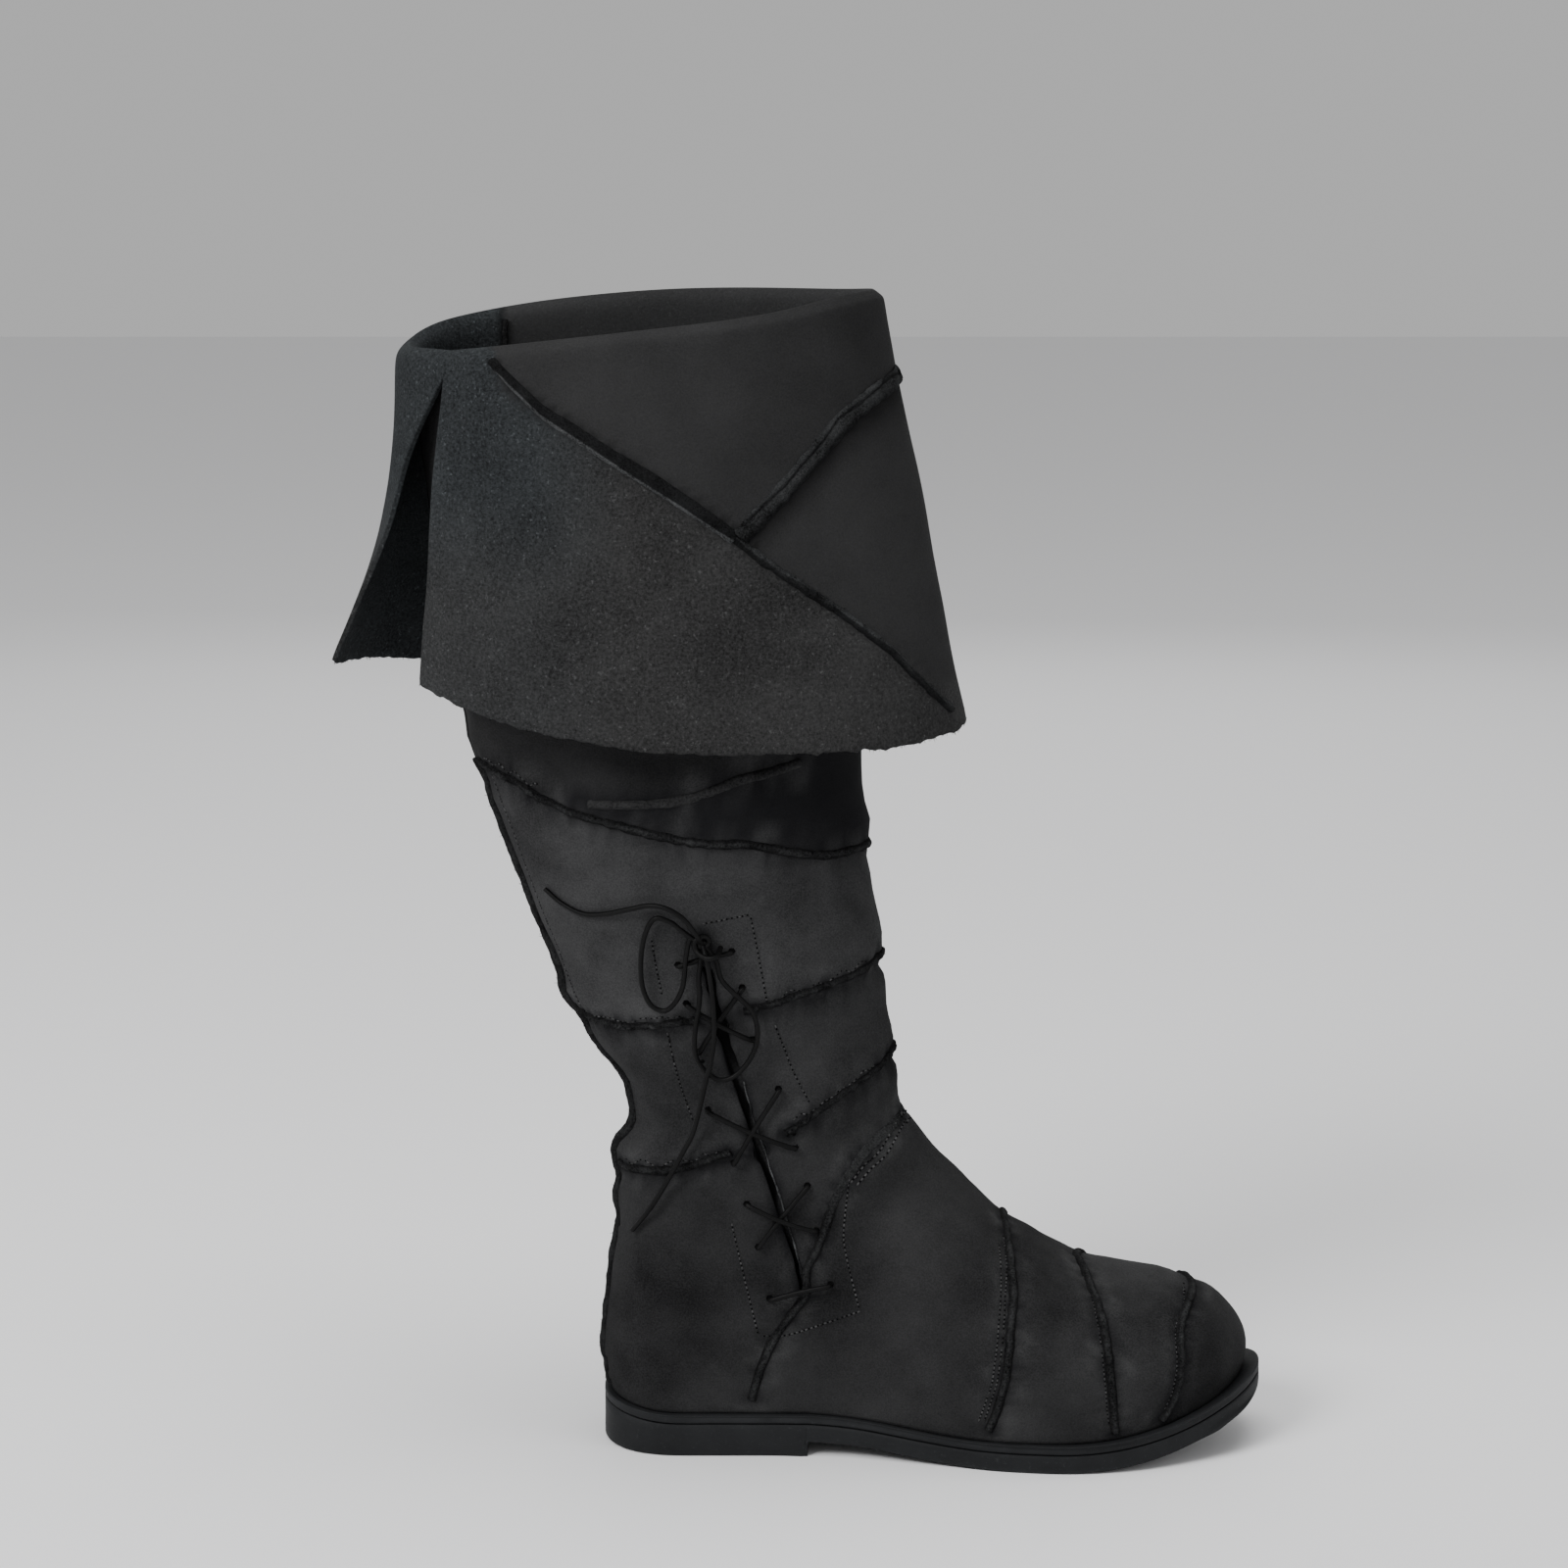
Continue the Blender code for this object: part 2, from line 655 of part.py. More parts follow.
def thicken(obj, thickness, offset):
    """Gives a sheet its wall. offset -1 puts the wall behind the faces and 1 in front of them."""
    wall = obj.modifiers.new("wall", "SOLIDIFY")
    wall.thickness = thickness
    wall.offset = offset
    wall.use_even_offset = True
    wall.use_quality_normals = True
    return obj


def upper_grid():
    """Points and faces of the upper's outer skin, with one column of faces left out along the slit."""
    points, faces = [], []
    around = 2 * SIDE_COLUMNS
    low, high = leg_height(SLIT_LINE[0][0]), leg_height(SLIT_LINE[-1][0])
    slit = [ring for ring in range(RINGS) if low <= slit_place(ring)[1] <= high]
    for ring in range(RINGS):
        places = column_places(ring)
        for j in range(around):
            side = OUTER if j <= SIDE_COLUMNS else INNER
            place = places[j] if j <= SIDE_COLUMNS else places[around - j]
            points.append(ring_point(ring, place, side))
    for ring in range(RINGS - 1):
        for j in range(around):
            if j == SLIT_COLUMN and slit[0] <= ring < slit[-1]:
                continue
            a, b = ring * around + j, ring * around + (j + 1) % around
            faces.append((a, b, b + around, a + around))
    return points, faces


def build_upper(suede):
    """One hollow wall from the feather line to the collar, open below, above and along the slit."""
    points, faces = upper_grid()
    return thicken(add_object("upper", points, faces, suede), WALL, -1)


def upper_skin():
    """The upper's outer skin with its slit closed and every face looking outward, to seat the seams on."""
    points, faces = upper_grid()
    around = 2 * SIDE_COLUMNS
    closed = set(faces)
    for ring in range(RINGS - 1):
        a = ring * around + SLIT_COLUMN
        closed.add((a, a + 1, a + 1 + around, a + around))
    return BVHTree.FromPolygons(points, sorted(closed))


def on_skin(skin, point):
    """The nearest point of the upper's outer skin."""
    return skin.find_nearest(point)[0]


def clearance(skin, point):
    """How far a point stands out from the upper's outer skin."""
    nearest, facing = skin.find_nearest(point)[:2]
    return (point - nearest).dot(facing)


def lifts_off(skin, feet, normals):
    """How far each pair of feet of a strip must rise so that the strip clears the skin between them."""
    lifts = [SKIN_GAP] * len(feet)
    for _ in range(SEATING_ROUNDS):
        raised = list(lifts)
        for i in range(len(feet) - 1):
            low = SKIN_GAP
            for t in (0.0, 0.2, 0.4, 0.6, 0.8, 1.0):
                for across in (0.0, 0.25, 0.5, 0.75, 1.0):
                    a = feet[i][0].lerp(feet[i][1], across) + normals[i] * lifts[i]
                    b = feet[i + 1][0].lerp(feet[i + 1][1], across) + normals[i + 1] * lifts[i + 1]
                    low = min(low, clearance(skin, a.lerp(b, t)))
            short = max(SKIN_GAP * 0.9 - low, 0.0)
            raised[i] = max(raised[i], lifts[i] + short)
            raised[i + 1] = max(raised[i + 1], lifts[i + 1] + short)
        lifts = raised
    return lifts


def station_shares():
    """Places along the sole where its outline is drawn: closer at its ends, and a pair at the breast."""
    heels, waists, fores, toes = SOLE_STATIONS
    heel = [HEEL_ROUND_END * (1 - math.cos(math.pi / 2 * i / heels)) for i in range(heels + 1)]
    waist = [HEEL_ROUND_END + (BREAST_PLACE - HEEL_ROUND_END) * i / waists for i in range(1, waists + 1)]
    breast = waist[-1] + BREAST_STEP / SOLE_LENGTH
    fore = [breast + (BALL_PLACE - breast) * i / fores for i in range(fores + 1)]
    toe = [BALL_PLACE + (1 - BALL_PLACE) * math.sin(math.pi / 2 * i / toes) for i in range(1, toes + 1)]
    return heel + waist + fore + toe


def sole_loop(shares, inset):
    """The sole's outline drawn in by inset: from the back tip along the outer side to the toe and back."""
    scale = (SOLE_LENGTH - 2 * inset) / SOLE_LENGTH
    xs = [along(0.5) + (along(share) - along(0.5)) * scale for share in shares]
    outer = [(x, outline_y(share, OUTER, inset)) for x, share in zip(xs, shares)]
    inner = [(x, outline_y(share, INNER, inset)) for x, share in zip(xs, shares)]
    return outer + inner[-2:0:-1]


def loft_loops(loops):
    """Closed solid through loops of equal length, capped across its first and last loop by strips."""
    count = len(loops[0])
    points = [p for loop in loops for p in loop]
    faces = []
    for level in range(len(loops) - 1):
        for j in range(count):
            a, b = level * count + j, level * count + (j + 1) % count
            faces.append((a, b, b + count, a + count))
    top = (len(loops) - 1) * count
    half = count // 2
    for j in range(half):
        low = [j, j + 1, (count - j - 1) % count, (count - j) % count]
        faces.append(tuple(dict.fromkeys(low)))
        faces.append(tuple(dict.fromkeys(top + k for k in reversed(low))))
    return points, faces


def build_outsole(rubber):
    """The moulded sole unit: heel block, arch, toe spring, and a rim band set off by a groove."""
    shares = station_shares()

    def underside(x, share):
        return 0.0 if share <= BREAST_PLACE + 1e-6 else sole_line(x)

    def level(inset, from_top, from_bottom):
        loop = []
        pairs = shares + shares[-2:0:-1]
        for (x, y), share in zip(sole_loop(shares, inset), pairs):
            if from_top is None:
                z = underside(x, share) + from_bottom
            else:
                z = sole_top(x) - from_top
            loop.append((x, y, z))
        return loop

    band = RIM_BAND
    loops = [
        level(EDGE_ROUND, None, 0.0),
        level(0.0, None, EDGE_ROUND),
        level(0.0, band + GROOVE_WIDTH, 0.0),
        level(GROOVE_DEPTH, band + GROOVE_WIDTH * 0.75, 0.0),
        level(GROOVE_DEPTH, band + GROOVE_WIDTH * 0.25, 0.0),
        level(0.0, band, 0.0),
        level(0.0, EDGE_ROUND / 2, 0.0),
        level(EDGE_ROUND / 2, 0.0, 0.0),
    ]
    points, faces = loft_loops(loops)
    return add_object("outsole", points, faces, rubber)


def build_insole(leather):
    """The footbed inside the upper: the feather line drawn in by the wall and a clearance."""
    inset = WALL + INSOLE_CLEARANCE
    places = [(1 - math.cos(math.pi * i / INSOLE_COLUMNS)) / 2 for i in range(INSOLE_COLUMNS + 1)]
    outer = [ring_point(INSOLE_RING, place, OUTER) for place in places]
    inner = [ring_point(INSOLE_RING, place, INNER) for place in places]
    loop = outer + inner[-2:0:-1]
    drawn_in = []
    for before, point, after in zip(loop[-1:] + loop[:-1], loop, loop[1:] + loop[:1]):
        tangent = (after - before).normalized()
        drawn_in.append(point + Vector((-tangent.y, tangent.x, 0.0)) * inset)
    levels = [[(p.x, p.y, sole_top(p.x) + GAP + up) for p in drawn_in] for up in (0.0, INSOLE_THICKNESS)]
    points, faces = loft_loops(levels)
    return add_object("insole", points, faces, leather)


def shell(name, front, back, faces, finish):
    """A closed solid between two layers of points that share their faces."""
    count = len(front)
    edges = {}
    for face in faces:
        for a, b in zip(face, face[1:] + face[:1]):
            edges[(a, b)] = True
    walls = [(b, a, a + count, b + count) for a, b in edges if (b, a) not in edges]
    behind = [tuple(k + count for k in reversed(face)) for face in faces]
    return add_object(name, front + back, faces + behind + walls, finish)


def build_gusset(suede):
    """The patch behind the slit, following the inside of the upper's wall."""
    rows, columns = GUSSET_ROWS, GUSSET_COLUMNS
    low, high = SLIT_LINE[0][0], SLIT_LINE[-1][0]
    front, back, faces = [], [], []
    for i in range(rows + 1):
        up = low - GUSSET_MARGIN + (high - low + 2 * GUSSET_MARGIN) * i / rows
        middle = share_of(slit_x(leg_height(min(max(up, low), high))))
        for j in range(columns + 1):
            share = middle + GUSSET_HALF_WIDTH / SOLE_LENGTH * (2 * j / columns - 1)
            spot = side_spot(share, up)
            normal = normal_of(side_spot, share, up, SHARE_STEP, SHARE_STEP)
            front.append(spot - normal * (WALL + GUSSET_CLEARANCE))
            back.append(spot - normal * (WALL + GUSSET_CLEARANCE + GUSSET_THICKNESS))
    for i in range(rows):
        for j in range(columns):
            a = i * (columns + 1) + j
            faces.append((a, a + 1, a + columns + 2, a + columns + 1))
    return shell("gusset", front, back, faces, suede)


def resample(rows, count):
    """Points on a smooth curve through the rows, evenly spaced by row."""
    numbered = [(i, *row) for i, row in enumerate(rows)]
    last = len(rows) - 1
    steps = [last * k / (count - 1) for k in range(count)]
    return [[curve_through(numbered, c, step) for c in range(1, len(rows[0]) + 1)] for step in steps]


def mirrored(rows, full):
    """The route carried on round the inner side: full is the turn or girth that brings it back."""
    return list(rows) + [(row[0], full - row[1]) for row in rows[-2::-1]]


def round_the_leg(front_rows, back_rows=()):
    """The route of the outer side's front, carried on round the whole inner side."""
    inner = [(360 - turn, up) for turn, up in front_rows[-2::-1]]
    return list(front_rows) + inner + [(360 - turn, up) for turn, up in back_rows[::-1]]


def strip(name, spot, rows, count, width, finish, steps, skin=None):
    """A raised seam: a low flat-topped ridge that follows a surface along a route."""
    route = resample(rows, count)
    centres = [spot(u, v) for u, v in route]
    normals = [normal_of(spot, u, v, *steps) for u, v in route]
    feet = []
    for i in range(count):
        tangent = (centres[min(i + 1, count - 1)] - centres[max(i - 1, 0)]).normalized()
        sideways = tangent.cross(normals[i]).normalized() * width / 2
        pair = (centres[i] - sideways, centres[i] + sideways)
        feet.append([on_skin(skin, foot) for foot in pair] if skin else pair)
    lifts = lifts_off(skin, feet, normals) if skin else [SKIN_GAP] * count
    points = []
    for (left, right), normal, lift in zip(feet, normals, lifts):
        top = normal * (lift + SEAM_HEIGHT)
        points.append(left + normal * lift)
        points.append(left.lerp(right, SEAM_SHOULDER) + top)
        points.append(left.lerp(right, 1.0 - SEAM_SHOULDER) + top)
        points.append(right + normal * lift)
    faces = [(0, 1, 2, 3), tuple(4 * (count - 1) + k for k in (3, 2, 1, 0))]
    for i in range(count - 1):
        for k in range(4):
            a, b = 4 * i + k, 4 * i + (k + 1) % 4
            faces.append((a, b, b + 4, a + 4))
    return add_object(name, points, faces, finish)


def build_leg_seams(suede, skin):
    ankle = round_the_leg(ANKLE_SEAM_FRONT, ANKLE_SEAM_BACK)
    heel = round_the_leg(HEEL_SEAM_FRONT, HEEL_SEAM_BACK)
    for name, rows, count, width in (
        ("seam_calf", round_the_leg(CALF_SEAM), 41, SEAM_WIDTH),
        ("fold_calf", CALF_FOLD, 12, SEAM_WIDTH),
        ("seam_ankle_back", ANKLE_SEAM_BACK, 13, SEAM_WIDTH),
        ("seam_ankle_front", ankle, 41, SEAM_WIDTH),
        ("seam_heel_back", HEEL_SEAM_BACK, 13, SEAM_WIDTH),
        ("seam_heel_front", heel, 41, SEAM_WIDTH),
        ("seam_vamp", round_the_leg(VAMP_SEAM), 37, SEAM_WIDTH),
        ("seam_back", BACK_SEAM, 36, BACK_SEAM_WIDTH),
    ):
        strip(name, leg_spot, rows, count, width, suede, (TURN_STEP, SHARE_STEP), skin)


def build_foot_seams(suede, skin):
    for name, rows in (
        ("seam_instep", INSTEP_SEAM),
        ("seam_ball", BALL_SEAM),
        ("seam_toe_cap", TOE_CAP_SEAM),
    ):
        strip(name, foot_spot, mirrored(rows, 180), 37, SEAM_WIDTH, suede, (SHARE_STEP, TURN_STEP), skin)


# The cuff

def collar_spot(turn, z=COLLAR_HEIGHT):
    """A point of the collar's outline, or of the leg's at a lower z, and its outward normal in plan."""
    up = min((z - leg_height(0.0)) / (leg_height(1.0) - leg_height(0.0)), COLLAR_TOP)

    def plan(degrees):
        spot = leg_spot(degrees % 360, up)
        return Vector((spot.x, spot.y, 0.0))

    tangent = plan(turn + 1) - plan(turn - 1)
    return plan(turn), Vector((tangent.y, -tangent.x, 0.0)).normalized()


def cuff_row(column, turn):
    return curve_through(CUFF_SECTIONS, column, turn)


def rim_height(turn):
    return CUFF_HEIGHT * cuff_row(1, turn) - CUFF_WALL


def cuff_sheet(turn, drop):
    """The face of the flap that looks to the leg. drop runs from the rim (0) to the hem (1)."""
    spot, normal = collar_spot(turn)
    below = FOLD_SECTIONS[-1][1] * CUFF_FOLD
    height = rim_height(turn) - below - drop * (CUFF_DROP * cuff_row(2, turn) - below)
    out = CUFF_STAND_OFF + CUFF_FLARE * cuff_row(3, turn) * drop ** cuff_row(4, turn)
    return spot + normal * out + Vector((0.0, 0.0, height))


def cuff_spot(turn, drop):
    """The outer face of the flap."""
    return cuff_sheet(turn, drop) - normal_of(cuff_sheet, turn, drop, TURN_STEP, DROP_STEP) * CUFF_WALL


def cuff_turn(place, drop):
    """Turn of a column of the cuff: the slit leans back, and its far edge swings open towards the hem."""
    first = CUFF_SLIT_TURN - CUFF_SLIT_LEAN * drop
    last = 360 + CUFF_SLIT_TURN - CUFF_SLIT_GAP - CUFF_SLIT_SPREAD * drop**CUFF_SLIT_EASE
    return first + (last - first) * place


def build_cuff(leather):
    """The turned-down cuff: inside the collar, over the rim and down outside, open along its slit."""
    front, back, faces = [], [], []
    inside = -(WALL + COLLAR_CLEARANCE)
    for way, depth in FOLD_SECTIONS:
        for j in range(CUFF_COLUMNS + 1):
            turn = cuff_turn(j / CUFF_COLUMNS, 0.0)
            z = rim_height(turn) - CUFF_FOLD * depth
            spot, normal = collar_spot(turn, z)
            sheet = spot + normal * (inside + (CUFF_STAND_OFF - inside) * way)
            sheet.z = z
            angle = math.pi * way
            over = Vector((0.0, 0.0, math.sin(angle))) - normal * math.cos(angle)
            front.append(sheet)
            back.append(sheet + over * CUFF_WALL)
    for i in range(1, CUFF_FLAP_ROWS + 1):
        drop = i / CUFF_FLAP_ROWS
        for j in range(CUFF_COLUMNS + 1):
            turn = cuff_turn(j / CUFF_COLUMNS, drop)
            front.append(cuff_sheet(turn, drop))
            back.append(cuff_spot(turn, drop))
    width = CUFF_COLUMNS + 1
    rows = len(FOLD_SECTIONS) + CUFF_FLAP_ROWS
    for i in range(rows - 1):
        for j in range(width):
            if j == CUFF_COLUMNS and i >= len(FOLD_SECTIONS) - 1:
                continue
            a, b = i * width + j, i * width + (j + 1) % width
            faces.append((a, b, b + width, a + width))
    return shell("cuff", front, back, faces, leather)


def build_cuff_seams(leather):
    steps = (TURN_STEP, -DROP_STEP)
    strip("cuff_rolled_seam", cuff_spot, CUFF_ROLLED_SEAM, 14, 2 * SEAM_WIDTH, leather, steps)
    strip("cuff_flap_seam", cuff_spot, CUFF_FLAP_SEAM, 12, SEAM_WIDTH, leather, steps)
    strip("cuff_frayed_seam", cuff_spot, CUFF_FRAYED_SEAM, 8, SEAM_WIDTH, leather, steps)


# The lace

def lifted_spot(share, up, lift):
    return side_spot(share, up) + normal_of(side_spot, share, up, SHARE_STEP, SHARE_STEP) * lift


def cord_bar(name, row, finish):
    """One straight length of cord over the slit, as a closed eight-sided tube."""
    back_share, back_up, front_share, front_up, lift = row
    steps = [k / (LACE_BAR_POINTS - 1) for k in range(LACE_BAR_POINTS)]
    route = []
    for t in steps:
        share = back_share + (front_share - back_share) * t
        route.append(lifted_spot(share, back_up + (front_up - back_up) * t, lift * CORD_DIAMETER))
    points = []
    for i, centre in enumerate(route):
        tangent = (route[min(i + 1, len(route) - 1)] - route[max(i - 1, 0)]).normalized()
        first = tangent.cross(Vector((0.0, 1.0, 0.0))).normalized()
        second = tangent.cross(first)
        for k in range(CORD_SIDES):
            angle = 2 * math.pi * (k + 0.5) / CORD_SIDES
            ray = first * math.cos(angle) + second * math.sin(angle)
            points.append(centre + ray * CORD_DIAMETER / 2)
    last = CORD_SIDES * (len(route) - 1)
    faces = [tuple(range(CORD_SIDES)), tuple(last + k for k in reversed(range(CORD_SIDES)))]
    for i in range(len(route) - 1):
        for k in range(CORD_SIDES):
            a, b = CORD_SIDES * i + k, CORD_SIDES * i + (k + 1) % CORD_SIDES
            faces.append((a, b, b + CORD_SIDES, a + CORD_SIDES))
    return add_object(name, points, faces, finish)


def join(first, second):
    """Joins two solids that cross into one."""
    union = first.modifiers.new("join", "BOOLEAN")
    union.operation = "UNION"
    union.solver = "EXACT"
    union.object = second
    bpy.context.view_layer.update()
    joined = bpy.data.meshes.new_from_object(first.evaluated_get(bpy.context.evaluated_depsgraph_get()))
    first.modifiers.clear()
    first.data = joined
    bpy.data.objects.remove(second, do_unlink=True)
    return first


def build_crossings(cord):
    for name, rows in (
        ("lace_top_bar", LACE_TOP_BAR),
        ("lace_crossing_upper", LACE_CROSSING_UPPER),
        ("lace_crossing_middle", LACE_CROSSING_MIDDLE),
        ("lace_crossing_lower", LACE_CROSSING_LOWER),
        ("lace_bottom_bar", LACE_BOTTOM_BAR),
    ):
        bars = [cord_bar(name, row, cord) for row in rows]
        if len(bars) == 2:
            join(*bars)


def cord_curve(name, rows, finish):
    """A free length of cord as a curve with a round section."""
    fine = resample(rows, 200)
    spots = [lifted_spot(share, up, lift * CORD_DIAMETER) for share, up, lift in fine]
    length = sum((b - a).length for a, b in zip(spots, spots[1:]))
    count = max(int(length / (CORD_STEP * CORD_DIAMETER)), CORD_LEAST_STEPS)
    chosen, gone, want = [spots[0]], 0.0, length / count
    for a, b in zip(spots, spots[1:]):
        gone += (b - a).length
        if gone >= want * len(chosen) - 1e-7 and len(chosen) <= count:
            chosen.append(b)
    curve = bpy.data.curves.new(name, "CURVE")
    curve.dimensions = "3D"
    curve.bevel_depth = CORD_DIAMETER / 2
    curve.bevel_resolution = 2
    curve.use_fill_caps = True
    line = curve.splines.new("POLY")
    line.points.add(len(chosen) - 1)
    for point, spot in zip(line.points, chosen):
        point.co = (*spot, 1.0)
    curve.materials.append(finish)
    obj = bpy.data.objects.new(name, curve)
    bpy.context.scene.collection.objects.link(obj)
    return obj


def build_bow(cord):
    cord_curve("bow_knot", BOW_KNOT, cord)
    cord_curve("bow_loop_back", BOW_LOOP_BACK, cord)
    cord_curve("bow_loop_front", BOW_LOOP_FRONT, cord)
    cord_curve("lace_end_back", LACE_END_BACK, cord)
    cord_curve("lace_end_front", LACE_END_FRONT, cord)


def main():
    clear_scene()
    build_outsole(material("sole_rubber", (0.030, 0.031, 0.033), 0.55))
    build_insole(material("footbed", (0.10, 0.075, 0.055), 0.70))
    suede = material("black_suede", (0.035, 0.035, 0.037), 0.92)
    build_upper(suede)
    build_gusset(material("gusset_suede", (0.030, 0.030, 0.032), 0.92))
    raw_edge = material("raw_edge", (0.070, 0.070, 0.072), 0.90)
    skin = upper_skin()
    build_leg_seams(raw_edge, skin)
    build_foot_seams(raw_edge, skin)
    build_cuff(material("cuff_leather", (0.060, 0.075, 0.080), 0.85))
    build_cuff_seams(material("cuff_edge", (0.090, 0.105, 0.105), 0.88))
    cord = material("leather_cord", (0.025, 0.024, 0.024), 0.60)
    build_crossings(cord)
    build_bow(cord)


main()
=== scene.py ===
import math
import bmesh
import bpy
import numpy as np
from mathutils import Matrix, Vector, kdtree, noise
from mathutils.bvhtree import BVHTree


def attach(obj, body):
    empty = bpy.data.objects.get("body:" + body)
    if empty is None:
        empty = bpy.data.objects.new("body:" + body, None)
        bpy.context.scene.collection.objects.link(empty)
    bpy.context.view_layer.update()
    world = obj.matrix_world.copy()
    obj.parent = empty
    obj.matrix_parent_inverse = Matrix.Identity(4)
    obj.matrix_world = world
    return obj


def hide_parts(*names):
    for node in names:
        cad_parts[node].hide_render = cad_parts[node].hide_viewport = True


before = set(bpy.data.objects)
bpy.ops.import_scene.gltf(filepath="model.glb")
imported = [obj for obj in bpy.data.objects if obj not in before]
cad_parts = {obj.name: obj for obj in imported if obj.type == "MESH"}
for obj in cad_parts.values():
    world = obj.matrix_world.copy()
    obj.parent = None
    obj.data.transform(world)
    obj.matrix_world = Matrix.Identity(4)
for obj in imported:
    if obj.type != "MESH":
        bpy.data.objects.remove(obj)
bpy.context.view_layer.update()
mm = 0.001


# selecting and finishing pieces

def pickOnly(*pieces):
    for piece in list(bpy.context.selected_objects):
        piece.select_set(False)
    for piece in pieces:
        piece.select_set(True)
    bpy.context.view_layer.objects.active = pieces[0]


def applyAll(piece):
    pickOnly(piece)
    for modifier in list(piece.modifiers):
        bpy.ops.object.modifier_apply(modifier=modifier.name)


def finishPiece(piece, materials, replaced=()):
    for material in materials:
        piece.data.materials.append(material)
    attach(piece, "root")
    if replaced:
        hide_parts(*replaced)
    return piece


def copyOfNodes(name, nodes):
    # a merged copy of CAD nodes, in quads, ready to be smoothed
    copies = []
    for node in nodes:
        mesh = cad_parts[node].data.copy()
        mesh.materials.clear()
        copies.append(bpy.data.objects.new(name, mesh))
        bpy.context.scene.collection.objects.link(copies[-1])
    pickOnly(*copies)
    if len(copies) > 1:
        bpy.ops.object.join()
    piece = bpy.context.view_layer.objects.active
    piece.name = name
    bpy.ops.mesh.customdata_custom_splitnormals_clear()
    bpy.ops.object.mode_set(mode="EDIT")
    bpy.ops.mesh.select_all(action="SELECT")
    bpy.ops.mesh.remove_doubles(threshold=1e-6)
    bpy.ops.mesh.tris_convert_to_quads(face_threshold=math.radians(45), shape_threshold=math.radians(70))
    bpy.ops.object.mode_set(mode="OBJECT")
    return piece


def smoothCopy(piece, levels, edgeAngle, crease=0.9):
    # keeps cut edges crisp, rounds the rest, and still passes through the CAD's own points
    shape = bmesh.new()
    shape.from_mesh(piece.data)
    creases = shape.edges.layers.float.get("crease_edge") or shape.edges.layers.float.new("crease_edge")
    for edge in shape.edges:
        if len(edge.link_faces) == 2 and edge.calc_face_angle() > math.radians(edgeAngle):
            edge[creases] = crease
    shape.to_mesh(piece.data)
    shape.free()
    smooth = piece.modifiers.new("smooth", "SUBSURF")
    smooth.levels = levels
    smooth.render_levels = levels
    aim = pointsOf(piece.data)
    for attempt in range(2):
        bpy.context.view_layer.update()
        trial = piece.evaluated_get(bpy.context.evaluated_depsgraph_get())
        movePoints(piece.data, pointsOf(piece.data) + aim - pointsOf(trial.data)[:len(aim)])
    applyAll(piece)
    bpy.ops.object.shade_smooth()
    return piece


def pointsOf(mesh):
    flat = np.zeros(len(mesh.vertices) * 3)
    mesh.vertices.foreach_get("co", flat)
    return flat.reshape(-1, 3)


def normalsOf(mesh):
    flat = np.zeros(len(mesh.vertices) * 3)
    mesh.vertices.foreach_get("normal", flat)
    return flat.reshape(-1, 3)


def movePoints(mesh, points):
    mesh.vertices.foreach_set("co", points.ravel())
    mesh.update()


def paintMask(piece, name, values):
    mask = piece.data.attributes.new(name, "FLOAT", "POINT")
    mask.data.foreach_set("value", np.clip(values, 0.0, 1.0).astype(np.float32))


def noiseAt(points, scale, seed):
    return np.array([noise.noise(Vector(p) * scale + Vector((seed, 0, 0))) for p in points])


def treeOf(piece):
    mesh = piece.data
    return BVHTree.FromPolygons([v.co for v in mesh.vertices], [tuple(p.vertices) for p in mesh.polygons])


def smoothLine(rows, count):
    # a soft curve through given points
    pts = [Vector(row) for row in rows]
    pts = [2 * pts[0] - pts[1]] + pts + [2 * pts[-1] - pts[-2]]
    line = []
    for k in range(count):
        where = (len(rows) - 1) * k / (count - 1)
        i = min(int(where), len(rows) - 2)
        t = where - i
        a, b, c, d = pts[i:i + 4]
        line.append(0.5 * (2 * b + (c - a) * t + (2 * a - 5 * b + 4 * c - d) * t * t + (3 * b - a - 3 * c + d) * t ** 3))
    return line


# camera

photoView = {"place": (0.046, -1.75, 0.627), "tilt": 79.5, "lens": 91.5}
bpy.ops.object.camera_add(location=photoView["place"], rotation=(math.radians(photoView["tilt"]), 0, 0))
camera = bpy.context.object
camera.name = "photoCamera"
camera.data.lens = photoView["lens"]
camera.data.sensor_width = 36
camera.data.clip_end = 30
bpy.context.scene.camera = camera
print("camera set")


# shader groups shared by the leathers

def link(tree, start, end):
    tree.links.new(start, end)


def addNode(tree, kind, place=(0, 0), **values):
    node = tree.nodes.new(kind)
    node.location = place
    for name, value in values.items():
        setattr(node, name, value)
    return node


def addGroup(name, inputs, outputs):
    tree = bpy.data.node_groups.new(name, "ShaderNodeTree")
    for label, kind, value in inputs:
        socket = tree.interface.new_socket(name=label, in_out="INPUT", socket_type=kind)
        if value is not None:
            socket.default_value = value
    for label, kind in outputs:
        tree.interface.new_socket(name=label, in_out="OUTPUT", socket_type=kind)
    return tree, tree.nodes.new("NodeGroupInput"), tree.nodes.new("NodeGroupOutput")


def noiseNode(tree, source, scale, detail, roughness=0.6):
    node = addNode(tree, "ShaderNodeTexNoise")
    node.inputs["Scale"].default_value = scale
    node.inputs["Detail"].default_value = detail
    node.inputs["Roughness"].default_value = roughness
    link(tree, source, node.inputs["Vector"])
    return node


def mathNode(tree, operation, first, second, third=None):
    node = addNode(tree, "ShaderNodeMath", operation=operation)
    for socket, value in zip(node.inputs, (first, second, third)):
        if value is None:
            continue
        if isinstance(value, (int, float)):
            socket.default_value = value
        else:
            link(tree, value, socket)
    return node.outputs[0]


